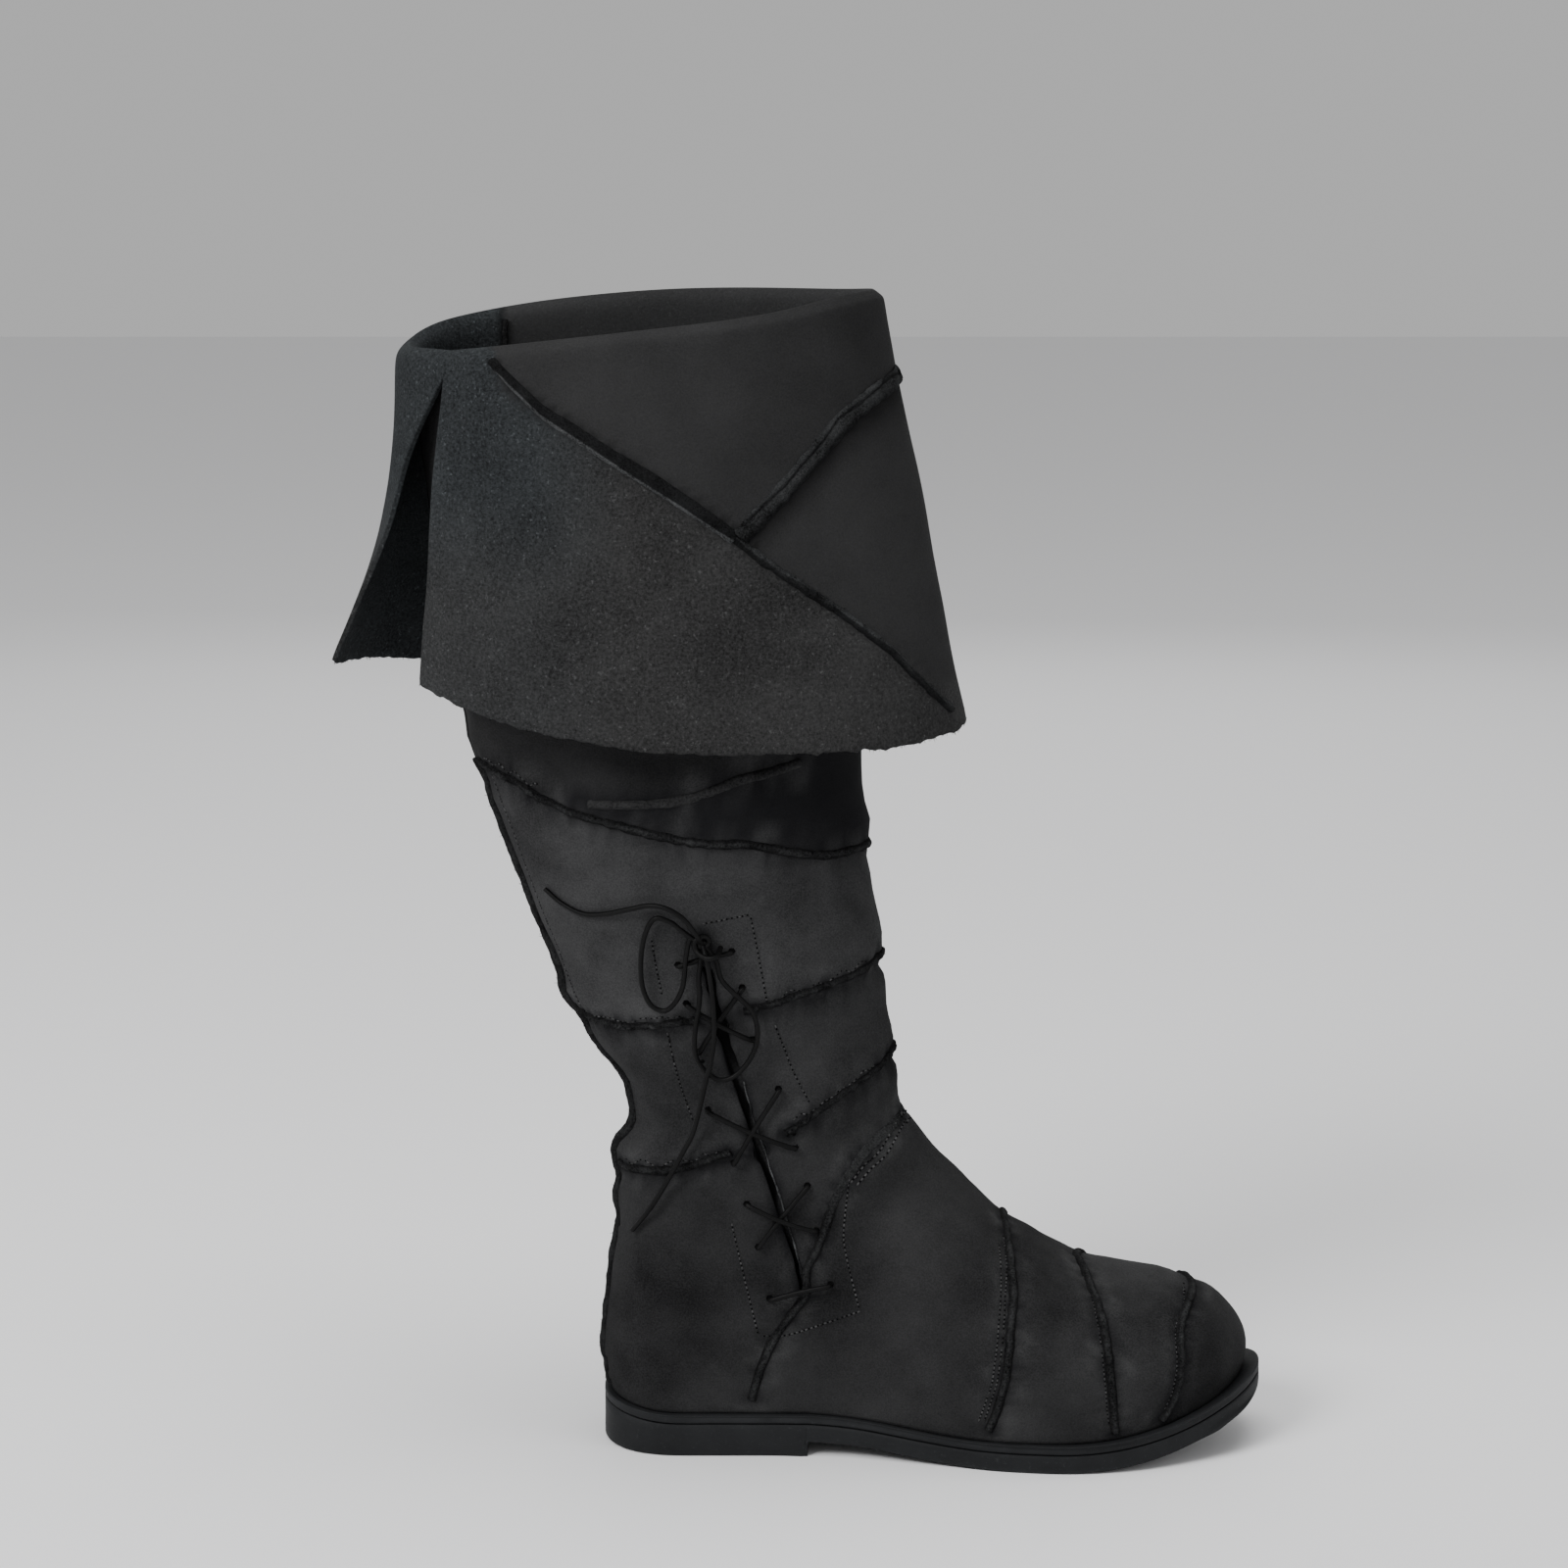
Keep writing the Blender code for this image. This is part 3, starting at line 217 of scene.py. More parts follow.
def rampNode(tree, source, low, high):
    node = addNode(tree, "ShaderNodeMapRange")
    node.inputs["From Min"].default_value = low
    node.inputs["From Max"].default_value = high
    link(tree, source, node.inputs["Value"])
    return node.outputs["Result"]


def mixNode(tree, factor, first, second, blend="MIX"):
    node = addNode(tree, "ShaderNodeMix", data_type="RGBA", blend_type=blend)
    for socket, value in ((node.inputs[0], factor), (node.inputs[6], first), (node.inputs[7], second)):
        if isinstance(value, (int, float)):
            socket.default_value = value
        elif isinstance(value, tuple):
            socket.default_value = (*value, 1.0)
        else:
            link(tree, value, socket)
    return node.outputs[2]


def makeNapGroup():
    # brushed nap: cloudy patches, short fibres and pores, as a tone and a height
    tree, inside, out = addGroup(
        "brushedNap",
        [("Cloud Scale", "NodeSocketFloat", 22.0), ("Fibre Scale", "NodeSocketFloat", 700.0),
         ("Cloud Strength", "NodeSocketFloat", 0.5), ("Fibre Strength", "NodeSocketFloat", 0.5)],
        [("Tone", "NodeSocketFloat"), ("Height", "NodeSocketFloat")],
    )
    where = addNode(tree, "ShaderNodeTexCoord").outputs["Object"]
    cloud = addNode(tree, "ShaderNodeTexNoise")
    cloud.inputs["Detail"].default_value = 5.0
    cloud.inputs["Roughness"].default_value = 0.55
    link(tree, where, cloud.inputs["Vector"])
    link(tree, inside.outputs["Cloud Scale"], cloud.inputs["Scale"])
    fibre = addNode(tree, "ShaderNodeTexNoise")
    fibre.inputs["Detail"].default_value = 4.0
    fibre.inputs["Roughness"].default_value = 0.75
    link(tree, where, fibre.inputs["Vector"])
    link(tree, inside.outputs["Fibre Scale"], fibre.inputs["Scale"])
    grain = noiseNode(tree, where, 210.0, 3.0)
    cloudTone = mathNode(tree, "SUBTRACT", rampNode(tree, cloud.outputs["Fac"], 0.3, 0.7), 0.5)
    fibreTone = mathNode(tree, "SUBTRACT", rampNode(tree, fibre.outputs["Fac"], 0.25, 0.75), 0.5)
    tone = mathNode(tree, "MULTIPLY_ADD", cloudTone, inside.outputs["Cloud Strength"], 0.5)
    tone = mathNode(tree, "MULTIPLY_ADD", fibreTone, inside.outputs["Fibre Strength"], tone)
    link(tree, tone, out.inputs["Tone"])
    height = mathNode(tree, "MULTIPLY_ADD", grain.outputs["Fac"], 0.45, fibre.outputs["Fac"])
    link(tree, height, out.inputs["Height"])
    return tree


napGroup = makeNapGroup()


def leatherMaterial(look):
    # tone runs between two colours; masks of the mesh lighten panels, lighten rubbed edges and painted highlights, and
    # paint shade near and below seams
    material = bpy.data.materials.new(look["name"])
    material.use_nodes = True
    tree = material.node_tree
    shader = tree.nodes["Principled BSDF"]
    nap = addNode(tree, "ShaderNodeGroup", node_tree=napGroup)
    nap.inputs["Cloud Scale"].default_value = look["cloudScale"]
    nap.inputs["Fibre Scale"].default_value = look["fibreScale"]
    nap.inputs["Cloud Strength"].default_value = look["cloud"]
    nap.inputs["Fibre Strength"].default_value = look["fibre"]
    colour = mixNode(tree, nap.outputs["Tone"], look["dark"], look["light"])
    roughness = look["roughness"]
    if "panel" in look:
        panel = addNode(tree, "ShaderNodeAttribute", attribute_name="panelTone").outputs["Fac"]
        colour = mixNode(tree, 1.0, colour, mixNode(tree, panel, look["panel"][0], look["panel"][1]), "MULTIPLY")
    # painted shade near and below the seams, mixed towards a near-black
    if "paintedSeamShade" in look:
        near = addNode(tree, "ShaderNodeAttribute", attribute_name="paintedShadeNearSeams").outputs["Fac"]
        colour = mixNode(tree, mathNode(tree, "MULTIPLY", near, look["paintedSeamShade"]), colour, (0.006, 0.006, 0.007))
    # lighter where rubbed, and as a painted highlight on seam crests and where painted shade is less deep
    if "wearAndPaintedLight" in look:
        wearAndPaintedLight = addNode(tree, "ShaderNodeAttribute", attribute_name="wearAndPaintedLight").outputs["Fac"]
        patchy = mathNode(tree, "MULTIPLY", wearAndPaintedLight, nap.outputs["Tone"])
        colour = mixNode(tree, mathNode(tree, "MULTIPLY", patchy, 1.3), colour, look["wearAndPaintedLight"])
    link(tree, colour, shader.inputs["Base Color"])
    if isinstance(roughness, tuple):
        span = addNode(tree, "ShaderNodeMapRange")
        span.inputs["To Min"].default_value = roughness[0]
        span.inputs["To Max"].default_value = roughness[1]
        link(tree, nap.outputs["Tone"], span.inputs["Value"])
        link(tree, span.outputs["Result"], shader.inputs["Roughness"])
    else:
        shader.inputs["Roughness"].default_value = roughness
    shader.inputs["Sheen Weight"].default_value = look.get("sheen", 0.0)
    shader.inputs["Sheen Roughness"].default_value = 0.45
    shader.inputs["Specular IOR Level"].default_value = look.get("gloss", 0.25)
    bump = addNode(tree, "ShaderNodeBump")
    bump.inputs["Strength"].default_value = look["bump"]
    bump.inputs["Distance"].default_value = look["relief"]
    link(tree, nap.outputs["Height"], bump.inputs["Height"])
    link(tree, bump.outputs["Normal"], shader.inputs["Normal"])
    return material


blackNubuck = leatherMaterial({
    "name": "blackNubuck", "dark": (0.0070, 0.0071, 0.0074), "light": (0.0400, 0.0400, 0.0408),
    "cloudScale": 17.0, "fibreScale": 1300.0, "cloud": 0.75, "fibre": 0.7, "roughness": (0.95, 0.8),
    "sheen": 0.0, "gloss": 0.05, "bump": 0.5, "relief": 0.0008,
    "panel": ((0.33, 0.33, 0.335), (1.75, 1.75, 1.75)), "paintedSeamShade": 0.88, "wearAndPaintedLight": (0.062, 0.0625, 0.063),
})
rawSeam = leatherMaterial({
    "name": "rawSeam", "dark": (0.0016, 0.0016, 0.0018), "light": (0.0170, 0.0170, 0.0175),
    "cloudScale": 60.0, "fibreScale": 1100.0, "cloud": 0.5, "fibre": 1.4, "roughness": 0.95,
    "gloss": 0.04, "bump": 0.8, "relief": 0.0010, "wearAndPaintedLight": (0.060, 0.062, 0.063),
})
# near-black leather as painted shade, for the gusset deep in the slit and inside the holes; its lighter tone marks
# where the painted shade is less deep
paintedShadeLeather = leatherMaterial({
    "name": "paintedShadeLeather", "dark": (0.0010, 0.0010, 0.0011), "light": (0.0050, 0.0050, 0.0052),
    "cloudScale": 40.0, "fibreScale": 900.0, "cloud": 0.5, "fibre": 0.8, "roughness": 0.95,
    "gloss": 0.03, "bump": 0.4, "relief": 0.0006, "wearAndPaintedLight": (0.030, 0.030, 0.031),
})
footbedLeather = leatherMaterial({
    "name": "footbedLeather", "dark": (0.045, 0.034, 0.026), "light": (0.10, 0.078, 0.056),
    "cloudScale": 20.0, "fibreScale": 600.0, "cloud": 0.6, "fibre": 0.3, "roughness": 0.7,
    "gloss": 0.3, "bump": 0.2, "relief": 0.0004,
})
cordLeather = leatherMaterial({
    "name": "cordLeather", "dark": (0.0008, 0.0008, 0.0008), "light": (0.0036, 0.0036, 0.0037),
    "cloudScale": 90.0, "fibreScale": 1500.0, "cloud": 0.6, "fibre": 0.6, "roughness": (0.6, 0.42),
    "gloss": 0.12, "bump": 0.3, "relief": 0.0004,
})
# the thread is dark; its light tone, in small patches, is a painted glint
stitchThread = leatherMaterial({
    "name": "stitchThread", "dark": (0.0020, 0.0020, 0.0021), "light": (0.0750, 0.0750, 0.0760),
    "cloudScale": 300.0, "fibreScale": 3000.0, "cloud": 1.1, "fibre": 0.3, "roughness": 0.8,
    "gloss": 0.1, "bump": 0.3, "relief": 0.0003,
})
print("leathers mixed")


# the CAD's own places, read back for the details

def nodePoints(*nodes):
    return np.concatenate([pointsOf(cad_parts[node].data) for node in nodes])


seamNodes = [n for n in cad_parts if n.startswith(("seam_", "fold_"))]
cuffSeamNodes = [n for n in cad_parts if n.startswith("cuff_") and n != "cuff"]
upperSkin = treeOf(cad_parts["upper"])
cuffSkin = treeOf(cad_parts["cuff"])


def sideHit(x, z, skin):
    hit = skin.ray_cast(Vector((x, -0.3, z)), Vector((0, 1, 0)))[0]
    return hit if hit and hit.y < -6 * mm else None


def onOuterSide(x, z, lift=0.0, skin=None):
    # a point of the outer side over a place of the side view, bridging the slit, and the outward direction there
    def spotAt(px, pz):
        spot = sideHit(px, pz, skin or upperSkin)
        if spot:
            return spot
        near = [sideHit(px + shift * mm, pz, skin or upperSkin) for shift in (-3, 3, -5, 5, -8, 8)]
        near = [n for n in near if n]
        return Vector((px, sum(n.y for n in near) / len(near), pz)) if near else None

    middle = spotAt(x, z)
    around = [spotAt(x - 3 * mm, z), spotAt(x + 3 * mm, z), spotAt(x, z - 3 * mm), spotAt(x, z + 3 * mm)]
    if middle is None:
        return None, None
    up = Vector((0, -1, 0))
    if all(around):
        up = (around[1] - around[0]).cross(around[3] - around[2]).normalized()
        up = -up if up.y > 0 else up
    return middle + up * lift, up


def levelOfSeam(nodes, centre):
    # height of a seam that runs round the leg, by the bearing from the leg's middle
    points = nodePoints(*nodes)
    bearing = np.arctan2(points[:, 1] - centre[1], points[:, 0] - centre[0])
    order = np.argsort(bearing)
    return lambda pts: np.interp(np.arctan2(pts[:, 1] - centre[1], pts[:, 0] - centre[0]),
                                 bearing[order], points[order, 2], period=2 * math.pi)


def reachOfSeam(node, centreZ):
    # place along the foot of a seam that runs over it, by the bearing in the cross section
    points = nodePoints(node)
    bearing = np.arctan2(points[:, 2] - centreZ, points[:, 1])
    order = np.argsort(bearing)
    return lambda pts: np.interp(np.arctan2(pts[:, 2] - centreZ, pts[:, 1]), bearing[order], points[order, 0])


# the lace: a thin leather cord through the slit, tied in a bow

lace = {"thick": 2.4 * mm, "sink": 1.4 * mm, "shade": 0.96}
footPlace = {"heel": -36.04, "length": 300.0, "ankle": 155.5, "climb": 348.5}  # mm

laceBars = {
    # columns: place along the foot and height up the leg as shares, for the back end and the front end, and
    # the lift off the leather in cord diameters
    "lace_top_bar": [(0.118, 0.214, 0.197, 0.232, 0.88)],
    "lace_crossing_upper": [(0.148, 0.098, 0.212, 0.184, 0.88), (0.130, 0.163, 0.228, 0.114, 0.88)],
    "lace_crossing_middle": [(0.199, -0.050, 0.265, 0.048, 1.25), (0.161, 0.019, 0.290, -0.031, 0.88)],
    "lace_crossing_lower": [(0.235, -0.163, 0.308, -0.081, 0.88), (0.218, -0.105, 0.322, -0.141, 0.88)],
    "lace_bottom_bar": [(0.252, -0.232, 0.343, -0.212, 1.40)],
}


def cordSpot(share, up, lift):
    # the same place that the CAD's cords use
    x = (footPlace["heel"] + share * footPlace["length"]) * mm
    z = (footPlace["ankle"] + up * footPlace["climb"]) * mm
    return onOuterSide(x, z, lift * lace["thick"])[0]


def cordTube(name, line, thick, sides=4):
    curve = bpy.data.curves.new(name, "CURVE")
    curve.dimensions = "3D"
    curve.bevel_depth = thick / 2
    curve.bevel_resolution = sides
    curve.use_fill_caps = True
    spline = curve.splines.new("POLY")
    spline.points.add(len(line) - 1)
    for point, place in zip(spline.points, line):
        point.co = (*place, 1.0)
    tube = bpy.data.objects.new(name, curve)
    bpy.context.scene.collection.objects.link(tube)
    return tube


def makeLaceBars():
    # every bar comes out of a hole, lies over the slit and goes in at the other side; the second one rides over
    for node, bars in laceBars.items():
        tubes = []
        for number, (share0, up0, share1, up1, lift) in enumerate(bars):
            first, last = cordSpot(share0, up0, lift), cordSpot(share1, up1, lift)
            inward = Vector((0, 1, 0))
            run = (last - first).normalized()
            over = 1.5 * mm * number
            spots = [first + inward * lace["sink"] * 1.6 + run * 0.3 * mm, first + run * 1.0 * mm]
            for t in (0.25, 0.5, 0.75):
                rise = 0.5 * mm + over * (1.0 if t == 0.5 else 0.7)
                spots.append(first.lerp(last, t) - inward * rise + Vector((0, 0, (0.5 - number) * 1.4 * mm)) * math.sin(math.pi * t))
            spots += [last - run * 1.0 * mm, last + inward * lace["sink"] * 1.6 - run * 0.3 * mm]
            tubes.append(cordTube(node + "_run", smoothLine(spots, 40), lace["thick"] * lace["shade"]))
        pickOnly(*tubes)
        bpy.ops.object.convert(target="MESH")
        if len(tubes) > 1:
            bpy.ops.object.join()
        run = bpy.context.view_layer.objects.active
        points = pointsOf(run.data)
        normals = normalsOf(run.data)
        movePoints(run.data, points + normals * (noiseAt(points, 420.0, 3.0) * 0.16 * mm)[:, None])
        bpy.ops.object.shade_smooth()
        finishPiece(run, [cordLeather], [node])
    print("lace run through the slit")


bow = {
    # columns: place along the foot and height up the leg as shares, lift off the leather in cord diameters
    "bow_loop_back": [
        (0.138, 0.254, 2.0), (0.131, 0.230, 2.0), (0.126, 0.191, 1.9), (0.114, 0.167, 1.8), (0.098, 0.157, 1.7),
        (0.079, 0.166, 1.6), (0.068, 0.193, 1.6), (0.067, 0.232, 1.7), (0.075, 0.265, 1.8), (0.089, 0.281, 2.0),
        (0.109, 0.276, 2.2), (0.125, 0.265, 2.3)],
    "bow_loop_front": [
        (0.171, 0.228, 2.3), (0.180, 0.201, 2.2), (0.195, 0.185, 2.2), (0.213, 0.169, 2.2), (0.226, 0.153, 2.2),
        (0.232, 0.129, 2.2), (0.229, 0.107, 2.1), (0.217, 0.086, 2.0), (0.199, 0.070, 2.0), (0.180, 0.066, 2.0),
        (0.161, 0.076, 2.1), (0.148, 0.093, 2.2), (0.143, 0.113, 2.2), (0.145, 0.141, 2.2), (0.149, 0.162, 2.2),
        (0.151, 0.183, 2.2), (0.149, 0.203, 2.3)],
    "lace_end_back": [
        (0.145, 0.261, 2.6), (0.127, 0.283, 3.2), (0.104, 0.295, 3.0), (0.080, 0.298, 2.4), (0.050, 0.291, 1.6),
        (0.011, 0.281, 0.9), (-0.020, 0.279, 0.68), (-0.050, 0.290, 0.68), (-0.074, 0.306, 0.68)],
    "lace_end_front": [
        (0.159, 0.230, 3.4), (0.164, 0.205, 3.4), (0.169, 0.173, 3.4), (0.171, 0.132, 3.4), (0.168, 0.098, 3.4),
        (0.161, 0.068, 3.4), (0.145, -0.002, 2.3), (0.128, -0.035, 2.1), (0.105, -0.076, 2.0), (0.081, -0.114, 1.8),
        (0.054, -0.149, 1.4)],
}
knot = {
    "middle": (0.1545, 0.2437),
    # columns: mm to the front, mm up, lift in cord diameters: a tight core, a turn round it, the wrap that holds all
    "turns": [(0.8, 1.6, 0.7), (-1.2, 0.6, 0.8), (-0.2, -1.2, 0.9), (1.4, 0.2, 1.1), (-0.2, 1.4, 1.5), (-1.2, -0.4, 1.7),
              (0.6, -1.4, 1.6), (2.6, 0.6, 1.3), (1.6, 3.6, 1.4), (-1.4, 4.0, 1.8), (-3.4, 1.6, 2.0), (-2.8, -1.6, 2.2),
              (-0.6, -3.4, 3.0), (2.2, -4.0, 4.0), (5.0, -3.6, 4.0), (6.6, -2.4, 2.8), (7.6, -1.2, 1.5)],
}


def makeBow():
    x0, z0 = footPlace["heel"] + knot["middle"][0] * footPlace["length"], footPlace["ankle"] + knot["middle"][1] * footPlace["climb"]
    spots = [onOuterSide((x0 + a) * mm, (z0 + b) * mm, lift * lace["thick"])[0] for a, b, lift in knot["turns"]]
    tied = cordTube("bowKnot", smoothLine(spots, 90), lace["thick"] * 1.05, 5)
    pickOnly(tied)
    bpy.ops.object.convert(target="MESH")
    bpy.ops.object.shade_smooth()
    finishPiece(tied, [cordLeather], ["bow_knot"])
    for name, rows in bow.items():
        heart = [(*knot["middle"], 1.5)]
        run = heart + rows + (heart if "loop" in name else [])
        line = smoothLine([cordSpot(*row) for row in run], 120)
        length = sum((b - a).length for a, b in zip(line, line[1:]))
        tube = cordTube(name + "_cord", line, lace["thick"] * 0.94)
        finishPiece(tube, [cordLeather], [name])
        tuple(line[0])
        "knot" if "loop" in name else "bare"
        print(name, "is", round(length, 3), "m long")


makeLaceBars()
makeBow()


# the upper: patches of nubuck between raised seams, with the folds of a worn leg

folds = [
    # side (-1 outer, 1 inner, 0 both), depth in mm (minus sinks in), width in mm, then the places it runs through
    (-1, -2.2, 8, (-96, 330), (-60, 322), (-20, 319), (20, 324), (60, 334)),
    (-1, 1.6, 9, (-92, 310), (-60, 300), (-20, 309), (20, 310), (60, 300)),
    (-1, -2.4, 7, (-30, 298), (0, 293), (30, 291), (66, 287)),
    (-1, 1.4, 10, (-70, 288), (-30, 276), (10, 270), (60, 262)),
    (0, -2.0, 10, (-62, 226), (-40, 214), (-10, 216), (10, 222)),
    (0, 1.6, 9, (30, 226), (60, 236), (92, 244)),
    (0, -2.4, 8, (94, 200), (70, 196), (45, 186), (28, 184)),
    (-1, -2.2, 7, (-30, 172), (-14, 168), (4, 164), (16, 158)),
    (0, 1.8, 8, (-30, 186), (-12, 184), (6, 186)),
    (0, -3.0, 7, (-30, 152), (-18, 150), (-4, 154), (6, 160)),
    (0, 1.8, 7, (-36, 140), (-22, 138), (-6, 142)),
    (0, -2.6, 7, (98, 158), (84, 152), (70, 148), (58, 140)),
    (0, 1.8, 8, (104, 144), (88, 136), (70, 128)),
    (0, -1.8, 8, (112, 136), (98, 122), (84, 108), (76, 92)),
    (0, 1.4, 10, (130, 118), (112, 102), (98, 84)),
    (0, -1.5, 8, (152, 100), (140, 88), (128, 70), (122, 52)),
    (0, -1.2, 9, (170, 90), (164, 74), (160, 52)),
    (0, 1.1, 9, (208, 78), (204, 62), (206, 44)),
    (0, -1.2, 12, (0, 112), (10, 90), (10, 66), (4, 48)),
    (0, 1.3, 14, (-24, 96), (-20, 70), (-16, 50)),
]
puckers = {"depth": 0.7 * mm, "reach": 9 * mm}
seamRelief = [
    # seam nodes, middle of the bearings, bulge above (mm out, mm up, mm wide), trough below (mm in, mm down, mm wide)
    (["seam_calf"], (0.0, 0.0), (1.9, 9, 6), (1.8, 5, 4)),
    (["seam_ankle_front", "seam_ankle_back"], (0.02, 0.0), (1.5, 8, 6), (2.2, 5, 4)),
    (["seam_heel_front", "seam_heel_back"], (0.03, 0.0), (1.4, 8, 6), (2.0, 5, 4)),
]
foldLine = {"run": ((-48, 310), (-23, 307), (5, 309), (28, 318), (44, 326)), "bulge": 2.0, "trough": 2.2}


def reliefOfSeams(points):
    # every panel swells over its lower seam and is drawn in below the one above it
    move = np.zeros(len(points))
    for nodes, centre, (bulge, above, wide), (trough, below, narrow) in seamRelief:
        rise = (points[:, 2] - levelOfSeam(nodes, centre)(points)) / mm
        move += bulge * mm * np.exp(-((rise - above) / wide) ** 2)
        move -= trough * mm * np.exp(-((rise + below) / narrow) ** 2)
    xs, zs = [p[0] * mm for p in foldLine["run"]], [p[1] * mm for p in foldLine["run"]]
    rise = (points[:, 2] - np.interp(points[:, 0], xs, zs)) / mm
    inRun = np.clip((points[:, 0] - xs[0]) / (12 * mm) + 0.4, 0, 1) * np.clip((xs[-1] - points[:, 0]) / (25 * mm) + 0.6, 0, 1)
    inRun *= points[:, 1] < 0.0
    move += foldLine["bulge"] * mm * np.exp(-((rise - 7) / 5) ** 2) * inRun
    move -= foldLine["trough"] * mm * np.exp(-((rise + 5) / 4) ** 2) * inRun
    return move


def distanceToRun(points, run):
    best = np.full(len(points), 1e9)
    for (x0, z0), (x1, z1) in zip(run, run[1:]):
        a, b = np.array([x0, z0]) * mm, np.array([x1, z1]) * mm
        t = np.clip(((points - a) @ (b - a)) / ((b - a) @ (b - a)), 0, 1)
        best = np.minimum(best, np.linalg.norm(points - (a + t[:, None] * (b - a)), axis=1))
    return best


def foldUpper(piece):
    points = pointsOf(piece.data)
    normals = normalsOf(piece.data)
    move = np.zeros(len(points))
    for side, depth, width, *run in folds:
        line = [tuple(p)[:2] for p in smoothLine([(x, z, 0) for x, z in run], 14)]
        far = distanceToRun(points[:, [0, 2]], line)
        fade = 1.0 if side == 0 else np.clip(0.5 + side * points[:, 1] / (12 * mm), 0, 1)
        ends = np.clip(distanceToEnds(points, line) / (14 * mm), 0, 1)
        move += depth * mm * np.exp(-(far / (width * mm)) ** 2) * fade * (0.35 + 0.65 * ends)
    tree = seamTree()
    away = np.array([tree.find(p)[2] for p in points])
    move += noiseAt(points, 38.0, 7.0) * 0.9 * mm
    move += noiseAt(points, 110.0, 11.0) * puckers["depth"] * np.exp(-(away / puckers["reach"]) ** 2)
    move += reliefOfSeams(points)
    foot = np.clip((0.105 - points[:, 2]) / (20 * mm), 0, 1)
    move += foot * (0.6 * mm * np.exp(-((away - 9 * mm) / (6 * mm)) ** 2) - 0.7 * mm * np.exp(-(away / (4 * mm)) ** 2))
    for bars in laceBars.values():
        for share0, up0, share1, up1, _ in bars:
            bar = [(footPlace["heel"] + share * footPlace["length"], footPlace["ankle"] + up * footPlace["climb"])
                   for share, up in ((share0, up0), (share1, up1))]
            near = np.exp(-(distanceToRun(points[:, [0, 2]], bar) / (6 * mm)) ** 2) * (points[:, 1] < 0.0)
            move = np.where(move > 0, move * (1 - near), move)  # the lace draws the leather flat
    low = points[:, 2] - np.interp(points[:, 0], [-0.036, 0.0, 0.06, 0.14, 0.17, 0.22, 0.265],
                                   [0.024, 0.0195, 0.0185, 0.0125, 0.0128, 0.0202, 0.036])
    move *= np.clip(low / (12 * mm), 0, 1)  # the lasted edge stays on the sole
    move *= np.clip((0.470 - points[:, 2]) / (20 * mm), 0, 1)  # and the top stays inside the cuff
    movePoints(piece.data, points + outwardOf(points, normals) * move[:, None])


def outwardOf(points, normals):
    # both faces of the wall move the same way, so the wall keeps its thickness
    facing = []
    for point in points:
        near = upperSkin.find_nearest(Vector(point))
        facing.append(near[1])
    facing = np.array(facing)
    middle = np.stack([np.clip(points[:, 0], -0.02, 0.05), np.zeros(len(points)), points[:, 2]], axis=1)
    low = points[:, 2] < 0.11
    middle[low, 0] = points[low, 0]
    middle[low, 2] = 0.02
    flip = np.sign(np.sum((points - middle) * facing, axis=1))
    return facing * np.where(flip == 0, 1, flip)[:, None]


def distanceToEnds(points, line):
    ends = np.array([line[0], line[-1]]) * mm
    return np.min([np.linalg.norm(points[:, [0, 2]] - end, axis=1) for end in ends], axis=0)


def seamTree():
    seamPoints = nodePoints(*seamNodes)
    tree = kdtree.KDTree(len(seamPoints))
    for number, point in enumerate(seamPoints):
        tree.insert(point, number)
    tree.balance()
    return tree


slitPoints = nodePoints("gusset")
slitZ = np.linspace(slitPoints[:, 2].min(), slitPoints[:, 2].max(), 16)
slitX = np.array([slitPoints[np.abs(slitPoints[:, 2] - z) < 9 * mm, 0].mean() for z in slitZ])


